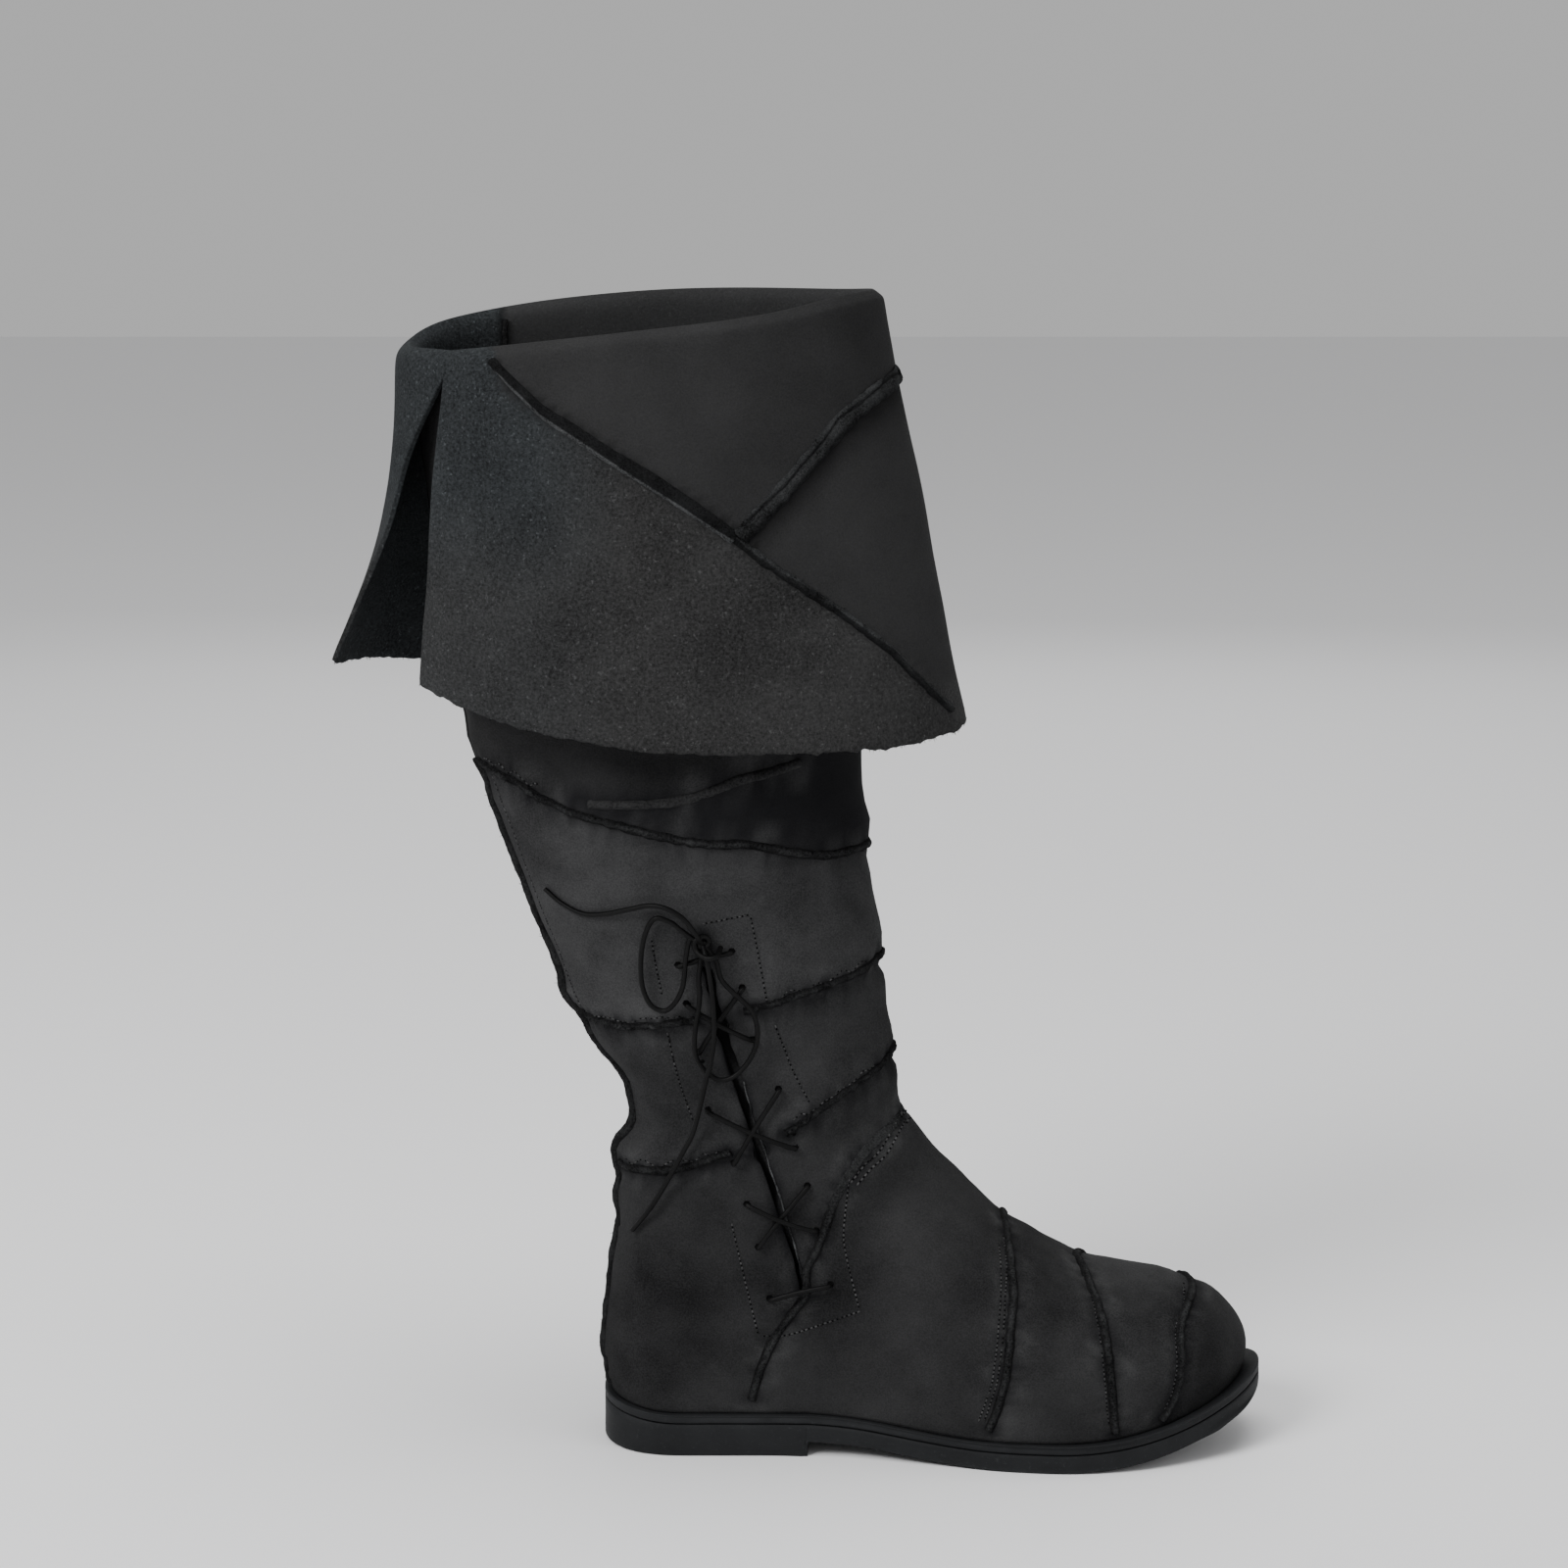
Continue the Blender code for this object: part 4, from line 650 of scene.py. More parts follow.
def paintPanels(piece):
    # each patch of the leg and foot has its own shade
    points = pointsOf(piece.data)
    legMiddle = (0.02, 0.0)
    calf = levelOfSeam(["seam_calf"], (0.0, 0.0))(points)
    ankle = levelOfSeam(["seam_ankle_front", "seam_ankle_back"], legMiddle)(points)
    heel = levelOfSeam(["seam_heel_front", "seam_heel_back"], (0.03, 0.0))(points)
    shade = {"top": 0.22, "calf": 0.80, "shin": 0.52, "quarter": 0.37, "vamp": 0.35, "instep": 0.40, "ball": 0.51, "toe": 0.33}
    panel = np.full(len(points), shade["quarter"])
    z, x = points[:, 2], points[:, 0]
    vampLine = np.interp(z, [0.02, 0.072, 0.105, 0.131, 0.146, 0.156], [0.030, 0.0535, 0.0655, 0.073, 0.0885, 0.103])
    panel = np.where(x > vampLine, shade["vamp"], panel)
    for node, shadeName in (("seam_instep", "instep"), ("seam_ball", "ball"), ("seam_toe_cap", "toe")):
        ahead = x > reachOfSeam(node, 0.03)(points)
        panel = np.where(ahead & (z < 0.125), shade[shadeName], panel)
    panel = np.where(z > np.minimum(heel, 0.19), shade["shin"], panel)
    panel = np.where(z > ankle, shade["calf"], panel)
    panel = np.where(z > calf, shade["top"], panel)
    paintMask(piece, "panelTone", panel)
    # painted shade: darker close to every seam
    tree = seamTree()
    away = np.array([tree.find(p)[2] for p in points])
    dark = np.exp(-(away / (2.6 * mm)) ** 2)
    # painted shadow in a band below the calf, ankle and heel seams
    for level in (calf, ankle, heel):
        below = (level - z) / mm
        dark = np.maximum(dark, 0.8 * np.exp(-(below / 8) ** 2) * (below > 0) * (x < vampLine + 0.03))
    # painted shadow under the calf fold
    foldZ = np.interp(x, [p[0] * mm for p in foldLine["run"]], [p[1] * mm for p in foldLine["run"]])
    under = np.clip((foldZ - z) / (4 * mm) + 0.3, 0, 1) * np.clip((z - calf) / (5 * mm) + 0.2, 0, 1)
    dark = np.maximum(dark, 0.85 * under * (points[:, 1] < 0.0) * (x > -0.05))
    # painted shade along the slit
    slit = np.interp(z, slitZ, slitX)
    dark = np.maximum(dark, np.exp(-((x - slit) / (3.2 * mm)) ** 2) * (points[:, 1] < 0.0) * (z < 0.245) * (z > 0.07))
    paintMask(piece, "paintedShadeNearSeams", dark)
    rub = np.exp(-((away - 5.5 * mm) / (2.5 * mm)) ** 2) * (0.35 + noiseAt(points, 90.0, 5.0))
    toeRub = np.clip((x - 0.235) / 0.03, 0, 1) * 0.35
    paintMask(piece, "wearAndPaintedLight", np.clip(rub * 0.6 + toeRub * (0.5 + noiseAt(points, 60.0, 9.0)), 0, 1))


def makeUpper():
    leg = copyOfNodes("leatherUpper", ["upper"])
    smoothCopy(leg, 2, 50)
    foldUpper(leg)
    paintPanels(leg)
    finishPiece(leg, [blackNubuck], ["upper"])
    print("upper folded,", len(leg.data.polygons), "faces")
    return leg


upper = makeUpper()
dressedSkin = treeOf(upper)


# the gusset under the lace, the footbed and the raised seams

def makeGusset():
    strip = copyOfNodes("gussetStrip", ["gusset"])
    smoothCopy(strip, 3, 50)
    points = pointsOf(strip.data)
    normals = normalsOf(strip.data)
    # painted shade: the strip stays near black, lighter only low down and ahead of the slit line
    lower = np.clip((0.188 - points[:, 2]) / (16 * mm), 0, 1)
    ahead = np.clip((points[:, 0] - np.interp(points[:, 2], slitZ, slitX)) / (0.8 * mm) + 0.4, 0, 1)
    paintMask(strip, "wearAndPaintedLight", 0.9 * lower * ahead)
    movePoints(strip.data, points + normals * (noiseAt(points, 60.0, 2.0) * 0.5 * mm)[:, None])
    return finishPiece(strip, [paintedShadeLeather], ["gusset"])


def makeFootbed():
    bed = copyOfNodes("leatherFootbed", ["insole"])
    smoothCopy(bed, 2, 40)
    return finishPiece(bed, [footbedLeather], ["insole"])


def followTheUpper(points):
    # how far the folded leather moved under each point, so seams ride on it
    moved = []
    for point in points:
        spot = Vector(point)
        base, normal = upperSkin.find_nearest(spot)[:2]
        start = base + normal * 12 * mm
        hit = dressedSkin.ray_cast(start, -normal, 24 * mm)
        moved.append(hit[0] - base if hit[0] else Vector())
    return np.array(moved)


seamLook = {
    # columns: smoothing, raggedness in mm
    "seam_calf": (3, 0.75), "seam_ankle_back": (3, 0.7), "seam_ankle_front": (3, 0.8), "seam_heel_back": (3, 0.7),
    "seam_heel_front": (3, 0.8), "seam_vamp": (2, 0.5), "seam_back": (2, 0.45), "seam_instep": (2, 0.45),
    "seam_ball": (2, 0.4), "seam_toe_cap": (2, 0.4), "fold_calf": (3, 0.3),
}


def seatOnSkin(points, skin, sink=0.25, reach=4.5):
    # the foot of a seam sinks into the leather all along; gives the points and how near each is to the crest
    found = [skin.find_nearest(Vector(p))[:2] for p in points]
    base = np.array([f[0] for f in found])
    normal = np.array([f[1] for f in found])
    height = ((points - base) * normal).sum(axis=1)
    places = kdtree.KDTree(len(base))
    for k, spot in enumerate(base):
        places.insert(spot, k)
    places.balance()
    anchors = base[::max(1, len(base) // 400)]
    low = [min(height[k] for _, k, _ in places.find_range(a, reach * mm)) for a in anchors]
    top = [max(height[k] for _, k, _ in places.find_range(a, reach * mm)) for a in anchors]
    marks = kdtree.KDTree(len(anchors))
    for k, spot in enumerate(anchors):
        marks.insert(spot, k)
    marks.balance()
    foot, crest = np.zeros(len(points)), np.zeros(len(points))
    for k, spot in enumerate(base):
        near = marks.find_n(spot, 3)
        weights = [1 / (n[2] + 0.3 * mm) for n in near]
        foot[k] = sum(w * low[n[1]] for w, n in zip(weights, near)) / sum(weights)
        crest[k] = sum(w * top[n[1]] for w, n in zip(weights, near)) / sum(weights)
    share = np.clip((height - foot) / np.maximum(crest - foot, 0.2 * mm), 0, 1)
    return points + normal * ((height - foot) * 1.1 - sink * mm - height)[:, None], share


def flattenLap(points):
    # above the lace's lowest holes the vamp is lapped and stitched down, not raised
    flat = []
    for point in points:
        spot = Vector(point)
        base, normal = dressedSkin.find_nearest(spot)[:2]
        share = 0.94 * min(max((spot.z - 0.112) / (12 * mm), 0.0), 1.0)
        flat.append(spot.lerp(base + normal * 0.25 * mm * (1 if normal.dot(spot - base) > 0 else -1), share))
    return np.array(flat)


def makeSeam(node):
    levels, ragged = seamLook[node]
    band = copyOfNodes(node + "_edge", [node])
    smoothCopy(band, levels, 80)
    points = pointsOf(band.data)
    normals = normalsOf(band.data)
    shove = noiseAt(points, 190.0, 1.0) * 0.7 + noiseAt(points, 520.0, 4.0) * 0.5
    points, crest = seatOnSkin(points + followTheUpper(points), dressedSkin, 0.8 if node == "seam_back" else 0.25)
    lap = np.zeros(len(points))
    if node == "seam_vamp":
        lap = np.clip((points[:, 2] - 0.112) / (12 * mm), 0, 1)
        points = flattenLap(points)
    movePoints(band.data, points + normals * (shove * ragged * mm * (1 - 0.8 * lap))[:, None])
    # the crest is lightened as a painted highlight, patchy like wear; the lapped part is paler
    paintMask(band, "wearAndPaintedLight", np.clip((crest - 0.72) / 0.28, 0, 1) * (0.30 + shove * 0.3) * (1 - lap) + lap * 0.25)
    return finishPiece(band, [blackNubuckPlain if node == "fold_calf" else rawSeam], [node])


blackNubuckPlain = leatherMaterial({
    "name": "blackNubuckPlain", "dark": (0.0055, 0.0056, 0.0058), "light": (0.0330, 0.0330, 0.0335),
    "cloudScale": 26.0, "fibreScale": 900.0, "cloud": 0.5, "fibre": 1.3, "roughness": 0.9,
    "gloss": 0.05, "bump": 0.4, "relief": 0.0007,
})
makeGusset()
makeFootbed()
for seamNode in seamLook:
    makeSeam(seamNode)
print("seams, gusset and footbed in")


# the folded cuff: rough flesh side out on the back, smooth panels at the front

def cuffMaterial():
    look = {
        "rough": {"dark": (0.0065, 0.0066, 0.0067), "light": (0.0430, 0.0438, 0.0444)},
        "smooth": {"dark": (0.0090, 0.0090, 0.0092), "light": (0.0350, 0.0350, 0.0356)},
        "specks": (0.095, 0.098, 0.100),
    }
    material = bpy.data.materials.new("cuffLeather")
    material.use_nodes = True
    tree = material.node_tree
    shader = tree.nodes["Principled BSDF"]
    tones = {}
    for side, cloud, fibre in (("rough", 0.45, 1.05), ("smooth", 0.4, 0.55)):
        nap = addNode(tree, "ShaderNodeGroup", node_tree=napGroup)
        nap.inputs["Cloud Scale"].default_value = 16.0 if side == "rough" else 14.0
        nap.inputs["Fibre Scale"].default_value = 800.0 if side == "rough" else 1200.0
        nap.inputs["Cloud Strength"].default_value = cloud
        nap.inputs["Fibre Strength"].default_value = fibre
        tones[side] = (nap, mixNode(tree, nap.outputs["Tone"], look[side]["dark"], look[side]["light"]))
    where = addNode(tree, "ShaderNodeTexCoord").outputs["Object"]
    speck = rampNode(tree, noiseNode(tree, where, 640.0, 2.0).outputs["Fac"], 0.62, 0.74)
    rough = mixNode(tree, mathNode(tree, "MULTIPLY", speck, 0.5), tones["rough"][1], look["specks"])
    mask = addNode(tree, "ShaderNodeAttribute", attribute_name="fleshSide").outputs["Fac"]
    edge = addNode(tree, "ShaderNodeAttribute", attribute_name="edgeBandAndPaintedShade").outputs["Fac"]
    cool = addNode(tree, "ShaderNodeAttribute", attribute_name="coolTone").outputs["Fac"]
    tint = mixNode(tree, cool, (1.02, 1.0, 0.99), (0.93, 1.01, 1.06))
    colour = mixNode(tree, mask, tones["smooth"][1], mixNode(tree, 1.0, rough, tint, "MULTIPLY"))
    # the band mask darkens a band along the flap's seam and a line on the inner back wall, and paints shadow below the
    # rolled seam
    colour = mixNode(tree, mathNode(tree, "MULTIPLY", edge, 0.7), colour, (0.0035, 0.0035, 0.0037))
    link(tree, colour, shader.inputs["Base Color"])
    shader.inputs["Roughness"].default_value = 0.9
    shader.inputs["Specular IOR Level"].default_value = 0.05
    height = addNode(tree, "ShaderNodeMix", data_type="FLOAT")
    link(tree, mask, height.inputs[0])
    link(tree, mathNode(tree, "MULTIPLY", tones["smooth"][0].outputs["Height"], 0.4), height.inputs[2])
    link(tree, tones["rough"][0].outputs["Height"], height.inputs[3])
    bump = addNode(tree, "ShaderNodeBump")
    bump.inputs["Strength"].default_value = 0.7
    bump.inputs["Distance"].default_value = 0.0012
    link(tree, height.outputs[0], bump.inputs["Height"])
    link(tree, bump.outputs["Normal"], shader.inputs["Normal"])
    return material


cuffLeather = cuffMaterial()

cuffFolds = [
    # depth in mm, width in mm, then places of the side view, outer side only
    (2.6, 14, (-75, 470), (-55, 455), (-35, 437), (-10, 420)),
    (-2.2, 12, (-80, 440), (-60, 420), (-40, 402), (-25, 380)),
    (1.8, 11, (-70, 400), (-50, 385), (-30, 362)),
    (-1.8, 10, (30, 500), (45, 480), (70, 470)),
    (1.6, 12, (20, 380), (45, 372), (75, 366)),
    (-1.5, 12, (10, 410), (40, 398), (70, 396)),
]


def seamLineOf(node):
    # the ridge of a cuff seam as a run of the side view
    points = nodePoints(node)
    spots = points[points[:, 1] < 0.0]
    order = np.argsort(spots[:, 0])
    steps = np.array_split(spots[order], 10)
    return [(float(s[:, 0].mean() / mm), float(s[:, 2].mean() / mm)) for s in steps if len(s)]


def makeCuff():
    piece = copyOfNodes("leatherCuff", ["cuff"])
    smoothCopy(piece, 3, 70, 0.7)
    points = pointsOf(piece.data)
    normals = normalsOf(piece.data)
    move = noiseAt(points, 26.0, 3.0) * 1.1 * mm
    outside = np.clip((-points[:, 1] - 0.02) / (15 * mm), 0, 1)
    for depth, width, *run in cuffFolds:
        line = [tuple(p)[:2] for p in smoothLine([(x, z, 0) for x, z in run], 12)]
        far = distanceToRun(points[:, [0, 2]], line)
        move += depth * mm * np.exp(-(far / (width * mm)) ** 2) * outside
    axis = np.array([0.012, 0.0, 0.0])
    out = points - axis
    out[:, 2] = 0
    out /= np.linalg.norm(out, axis=1)[:, None]
    hem = np.clip((0.40 - points[:, 2]) / (60 * mm), 0, 1)
    move *= np.clip((points[:, 2] - 0.20) / (30 * mm), 0, 1)
    jagged = noiseAt(points, 300.0, 8.0) * 1.1 * mm * hem
    fray = np.abs(noiseAt(points * np.array([1, 1, 0.2]), 700.0, 5.0)) * 1.5 * mm * hem
    moved = points + out * move[:, None]
    lowest = lowestRim(points)
    moved[:, 2] += (jagged - fray) * np.exp(-((points[:, 2] - lowest) / (3.5 * mm)) ** 2)
    movePoints(piece.data, moved)
    paintCuff(piece, points)
    finishPiece(piece, [cuffLeather], ["cuff"])
    print("cuff turned down,", len(piece.data.polygons), "faces")
    return piece


def lowestRim(points):
    # the hem's height by bearing round the leg
    bearing = np.arctan2(points[:, 1], points[:, 0] - 0.012)
    bins = np.clip(((bearing + math.pi) / (2 * math.pi) * 90).astype(int), 0, 89)
    low = np.full(90, 9.0)
    np.minimum.at(low, bins, points[:, 2])
    low[low > 8] = np.median(low[low < 8])
    centres = (np.arange(90) + 0.5) / 90 * 2 * math.pi - math.pi
    return np.interp(bearing, centres, low, period=2 * math.pi)


def paintCuff(piece, points):
    flap = sorted(seamLineOf("cuff_flap_seam") + seamLineOf("cuff_frayed_seam"))
    flap = [(flap[0][0] - 6, flap[0][1] + 11)] + flap
    rolled = sorted(seamLineOf("cuff_rolled_seam"))
    x, z = points[:, 0] / mm, points[:, 2] / mm
    flapLine = np.interp(x, [p[0] for p in flap], [p[1] for p in flap])
    rolledLine = np.interp(x, [p[0] for p in rolled], [p[1] for p in rolled])
    middle = rolled[0][0]
    outer = points[:, 1] < 0.0
    inward = (normalsOf(piece.data)[:, :2] * (points[:, :2] - np.array([0.012, 0.0]))).sum(axis=1) < 0
    flesh = np.clip((flapLine - z) / 2.0, 0, 1)
    flesh = np.where(x > middle, np.where(z > rolledLine - 2, 0.0, flesh), flesh)
    flesh = np.where(x < flap[0][0], 1.0, flesh)
    flesh = np.where(outer, flesh, np.clip((40 - x) / 20, 0, 1))
    backPanel = np.clip((-79 - x) / 1.5, 0, 1)
    flesh = np.where(inward, 0.25 + 0.75 * backPanel, flesh)
    paintMask(piece, "fleshSide", flesh)
    band = np.exp(-((z - flapLine - 3.0) / 2.4) ** 2) * outer * (x < middle + 4) * (x > flap[0][0])
    # painted shadow on the smooth panel below the rolled seam
    under = np.clip(1.15 - (rolledLine - 5 - z) / 15, 0, 1) ** 1.5 * (z < rolledLine) * (z > flapLine) * (x > middle - 1)
    band = np.maximum(band, under * outer)
    band = np.maximum(band, np.exp(-((x + 80.5) / 1.6) ** 2) * inward * (points[:, 1] > 0.0))
    paintMask(piece, "edgeBandAndPaintedShade", np.where(inward & outer, 0.0, band))
    cool = np.clip((-20 - x) / 40, 0, 1) * np.clip((z - 380) / 60, 0.25, 1)
    paintMask(piece, "coolTone", np.where(inward, 0.25 + 0.75 * backPanel, cool))


cuff = makeCuff()
dressedCuff = treeOf(cuff)


def followTheCuff(points):
    moved = []
    for point in points:
        spot = Vector(point)
        base, normal = cuffSkin.find_nearest(spot)[:2]
        hit = dressedCuff.ray_cast(base + normal * 9 * mm, -normal, 18 * mm)
        moved.append(hit[0] - base if hit[0] else Vector())
    return np.array(moved)


cuffReaches = {
    # at the start (True) or the end (False) of a seam: mm along and mm up that it runs on
    "cuff_flap_seam": {True: (-5.0, 10.0), False: (3.5, -3.0)},
    "cuff_rolled_seam": {True: (-2.5, -2.5)},
    "cuff_frayed_seam": {True: (-4.0, 4.5), False: (10.0, -14.5)},
}


def makeCuffSeams():
    # the flap's raw edge shows pale below, the rolled and the frayed seams stay dark
    for node, ragged, pale in (("cuff_rolled_seam", 0.6, 0.0), ("cuff_flap_seam", 0.4, -1.0), ("cuff_frayed_seam", 0.9, 1.0)):
        band = copyOfNodes(node + "_edge", [node])
        smoothCopy(band, 3, 80)
        points = pointsOf(band.data)
        normals = normalsOf(band.data)
        ridge = sorted(seamLineOf(node))
        across = points[:, 2] / mm - np.interp(points[:, 0] / mm, [p[0] for p in ridge], [p[1] for p in ridge])
        shove = noiseAt(points, 200.0, 1.0) * 0.7 + noiseAt(points, 560.0, 4.0) * 0.6
        moved = points + followTheCuff(points)
        slide = np.zeros((len(moved), 2))
        for atStart, (aside, up) in cuffReaches[node].items():
            end = moved[:, 0].min() if atStart else moved[:, 0].max()
            share = np.clip(1 - np.abs(moved[:, 0] - end) / (18 * mm), 0, 1)
            slide += np.outer(share, (aside, up))
        if node == "cuff_flap_seam":  # the upper edge of the flap's seam is broad
            broad = np.clip((moved[:, 0] - moved[:, 0].min()) / (36 * mm), 0.15, 0.9)
            slide += np.outer(np.clip(across, 0, 6) * broad, (0.55, 0.85))
        for k in np.nonzero(np.abs(slide).sum(axis=1))[0]:
            x, y, z = moved[k]
            newX, newZ = x + slide[k, 0] * mm, z + slide[k, 1] * mm
            here, there = sideHit(x, z, dressedCuff), sideHit(newX, newZ, dressedCuff)
            moved[k] = (newX, y + (there.y - here.y if here and there else 0.0), newZ)
        moved, crest = seatOnSkin(moved, dressedCuff)
        edge = np.clip((across * pale - 0.5) / 0.6, 0, 1) * (0.75 if pale < 0 else 0.3) * (pale != 0)
        # the crest is lightened as a painted highlight, patchy like wear
        worn = np.clip((crest - 0.75) / 0.25, 0, 1) * (0.10 + shove * 0.25) * (pale >= 0)
        if node == "cuff_rolled_seam":
            groove = np.exp(-((across - 2.2) / 0.8) ** 2)
            moved = moved - normals * (groove * 0.8 * mm)[:, None]
            # the roll below its groove gets a painted highlight with patchy wear; the groove stays dark
            worn = 0.24 * np.clip((across + 4.6) / 2.5, 0, 1) * (1 - groove) + shove * 0.1
        movePoints(band.data, moved + normals * (shove * ragged * mm)[:, None])
        paintMask(band, "wearAndPaintedLight", np.clip(edge + worn, 0, 1))
        finishPiece(band, [cuffEdge], [node])


cuffEdge = leatherMaterial({
    "name": "cuffEdge", "dark": (0.0020, 0.0020, 0.0021), "light": (0.0150, 0.0155, 0.0160),
    "cloudScale": 80.0, "fibreScale": 1300.0, "cloud": 0.5, "fibre": 1.2, "roughness": 0.95,
    "gloss": 0.04, "bump": 0.7, "relief": 0.0009, "wearAndPaintedLight": (0.085, 0.088, 0.090),
})
makeCuffSeams()
print("cuff seams in")


# the moulded sole

def soleMaterial():
    material = bpy.data.materials.new("soleRubber")
    material.use_nodes = True
    tree = material.node_tree
    shader = tree.nodes["Principled BSDF"]
    where = addNode(tree, "ShaderNodeTexCoord").outputs["Object"]
    cloud = noiseNode(tree, where, 38.0, 5.0)
    speck = noiseNode(tree, where, 620.0, 3.0, 0.7)
    tone = mathNode(tree, "MULTIPLY_ADD", rampNode(tree, cloud.outputs["Fac"], 0.3, 0.7), 0.7, 0.0)
    colour = mixNode(tree, tone, (0.0105, 0.0110, 0.0118), (0.0185, 0.0193, 0.0205))
    dust = rampNode(tree, speck.outputs["Fac"], 0.60, 0.72)
    colour = mixNode(tree, mathNode(tree, "MULTIPLY", dust, 0.3), colour, (0.05, 0.052, 0.055))
    rim = addNode(tree, "ShaderNodeAttribute", attribute_name="soleRim").outputs["Fac"]
    colour = mixNode(tree, mathNode(tree, "MULTIPLY", rim, 0.3), colour, (0.040, 0.042, 0.045))
    link(tree, colour, shader.inputs["Base Color"])
    shader.inputs["Roughness"].default_value = 0.6
    shader.inputs["Specular IOR Level"].default_value = 0.1
    bump = addNode(tree, "ShaderNodeBump")
    bump.inputs["Strength"].default_value = 0.3
    bump.inputs["Distance"].default_value = 0.0005
    link(tree, speck.outputs["Fac"], bump.inputs["Height"])
    link(tree, bump.outputs["Normal"], shader.inputs["Normal"])
    return material


def makeSole():
    sole = copyOfNodes("rubberSole", ["outsole"])
    smoothCopy(sole, 2, 35, 0.8)
    points = pointsOf(sole.data)
    normals = normalsOf(sole.data)
    top = np.interp(points[:, 0], [-0.036, 0.0, 0.06, 0.14, 0.17, 0.22, 0.265],
                    [0.024, 0.0195, 0.0185, 0.0125, 0.0128, 0.0202, 0.036])
    side = 1 - np.abs(normals[:, 2])
    rim = np.exp(-((points[:, 2] - top + 1.5 * mm) / (1.3 * mm)) ** 2) * side
    paintMask(sole, "soleRim", rim * (0.6 + 0.8 * noiseAt(points, 130.0, 2.0)))
    worn = noiseAt(points, 75.0, 6.0) * 0.25 * mm * side
    movePoints(sole.data, points + normals * worn[:, None])
    finishPiece(sole, [soleMaterial()], ["outsole"])
    print("sole moulded")


makeSole()


# stitches, laid as rows of short threads in one mesh for each seam

def besideSeam(node, offset, low, high):
    # a row beside a seam that runs over the foot, offset in mm along the foot
    points = nodePoints(node)
    points = points[points[:, 1] < (0.0 if node == "seam_back" else -6 * mm)]
    points = points[np.argsort(points[:, 2])] / mm
    row = []
    for z in np.linspace(low, high, 9):
        near = points[np.abs(points[:, 2] - z) < 3.5]
        if node == "seam_back":
            row.append((float(np.interp(z, points[:, 2], points[:, 0])) + offset, float(z)))
        elif len(near):
            row.append((float(near[:, 0].mean()) + offset, float(z)))
    return row


def overSeam(nodes, centre, offset, back, front):
    # a row over a seam that runs round the leg, offset in mm up
    xs = np.linspace(back, front, 12)
    level = levelOfSeam(nodes, centre)
    spots = np.array([sideHit(x * mm, 0.0, upperSkin) or Vector((x * mm, -0.04, 0.2)) for x in xs])
    z = level(spots)
    for again in range(4):
        spots = np.array([sideHit(x * mm, h, upperSkin) or Vector((x * mm, -0.01, h)) for x, h in zip(xs, z)])
        z = level(spots)
    return [(float(x), float(h / mm) + offset) for x, h in zip(xs, z)]


stitching = {
    # pitch, length and thickness of a stitch in mm, then rows of places in the side view
    "instepStitches": (2.1, 1.3, 0.75, [besideSeam("seam_instep", -3.2, 22, 99), besideSeam("seam_instep", -5.6, 22, 97)]),
    "ballStitches": (2.1, 1.2, 0.7, [besideSeam("seam_ball", -3.0, 21, 82)]),
    "toeCapStitches": (2.1, 1.2, 0.7, [besideSeam("seam_toe_cap", -2.8, 26, 74)]),
    "vampStitches": (2.6, 1.6, 0.95, [
        [(75.6, 128.0), (81.9, 135.5), (88.4, 140.4), (95.3, 149.2), (101.1, 155.5)],
        [(78.5, 127.0), (84.6, 133.5), (91.2, 138.6), (97.9, 146.9), (103.3, 152.5)]]),
    "gussetStitches": (2.3, 1.3, 0.85, [
        [(10.2, 249.1), (20.7, 251.1), (31.2, 252.9)], [(31.2, 252.9), (34.8, 234.0), (38.7, 211.8)],
        [(42.1, 201.2), (46.0, 190.6), (49.9, 180.1), (58.2, 163.8)],
        [(75.1, 130.1), (72.7, 106.5), (74.0, 94.0), (80.0, 69.8)],
        [(80.0, 69.8), (65.8, 63.9), (47.8, 57.3), (34.6, 56.4)],
        [(22.6, 109.6), (28.4, 83.3), (34.6, 56.8)], [(-5.5, 197.9), (0.2, 172.6), (5.9, 155.2)],
        [(-12.1, 242.9), (-10.3, 229.9), (-7.7, 215.6)]]),
    "legStitches": (2.6, 1.4, 0.75, [
        overSeam(["seam_calf"], (0.0, 0.0), 3.6, -86, -60),
        overSeam(["seam_ankle_front", "seam_ankle_back"], (0.02, 0.0), 3.4, -50, 2),
        overSeam(["seam_ankle_front", "seam_ankle_back"], (0.02, 0.0), 3.4, 40, 84),
        overSeam(["seam_heel_front", "seam_heel_back"], (0.03, 0.0), 3.4, -26, 18),
        overSeam(["seam_heel_front", "seam_heel_back"], (0.03, 0.0), 3.4, 50, 88)]),
    "backStitches": (2.6, 1.4, 0.75, [besideSeam("seam_back", 7.8, 206, 314)]),
}
spareHoles = [(0.3, 230.2), (4.2, 211.9), (27.0, 218.1), (31.3, 195.8), (10.0, 185.3), (50.6, 151.0), (14.0, 160.5)]


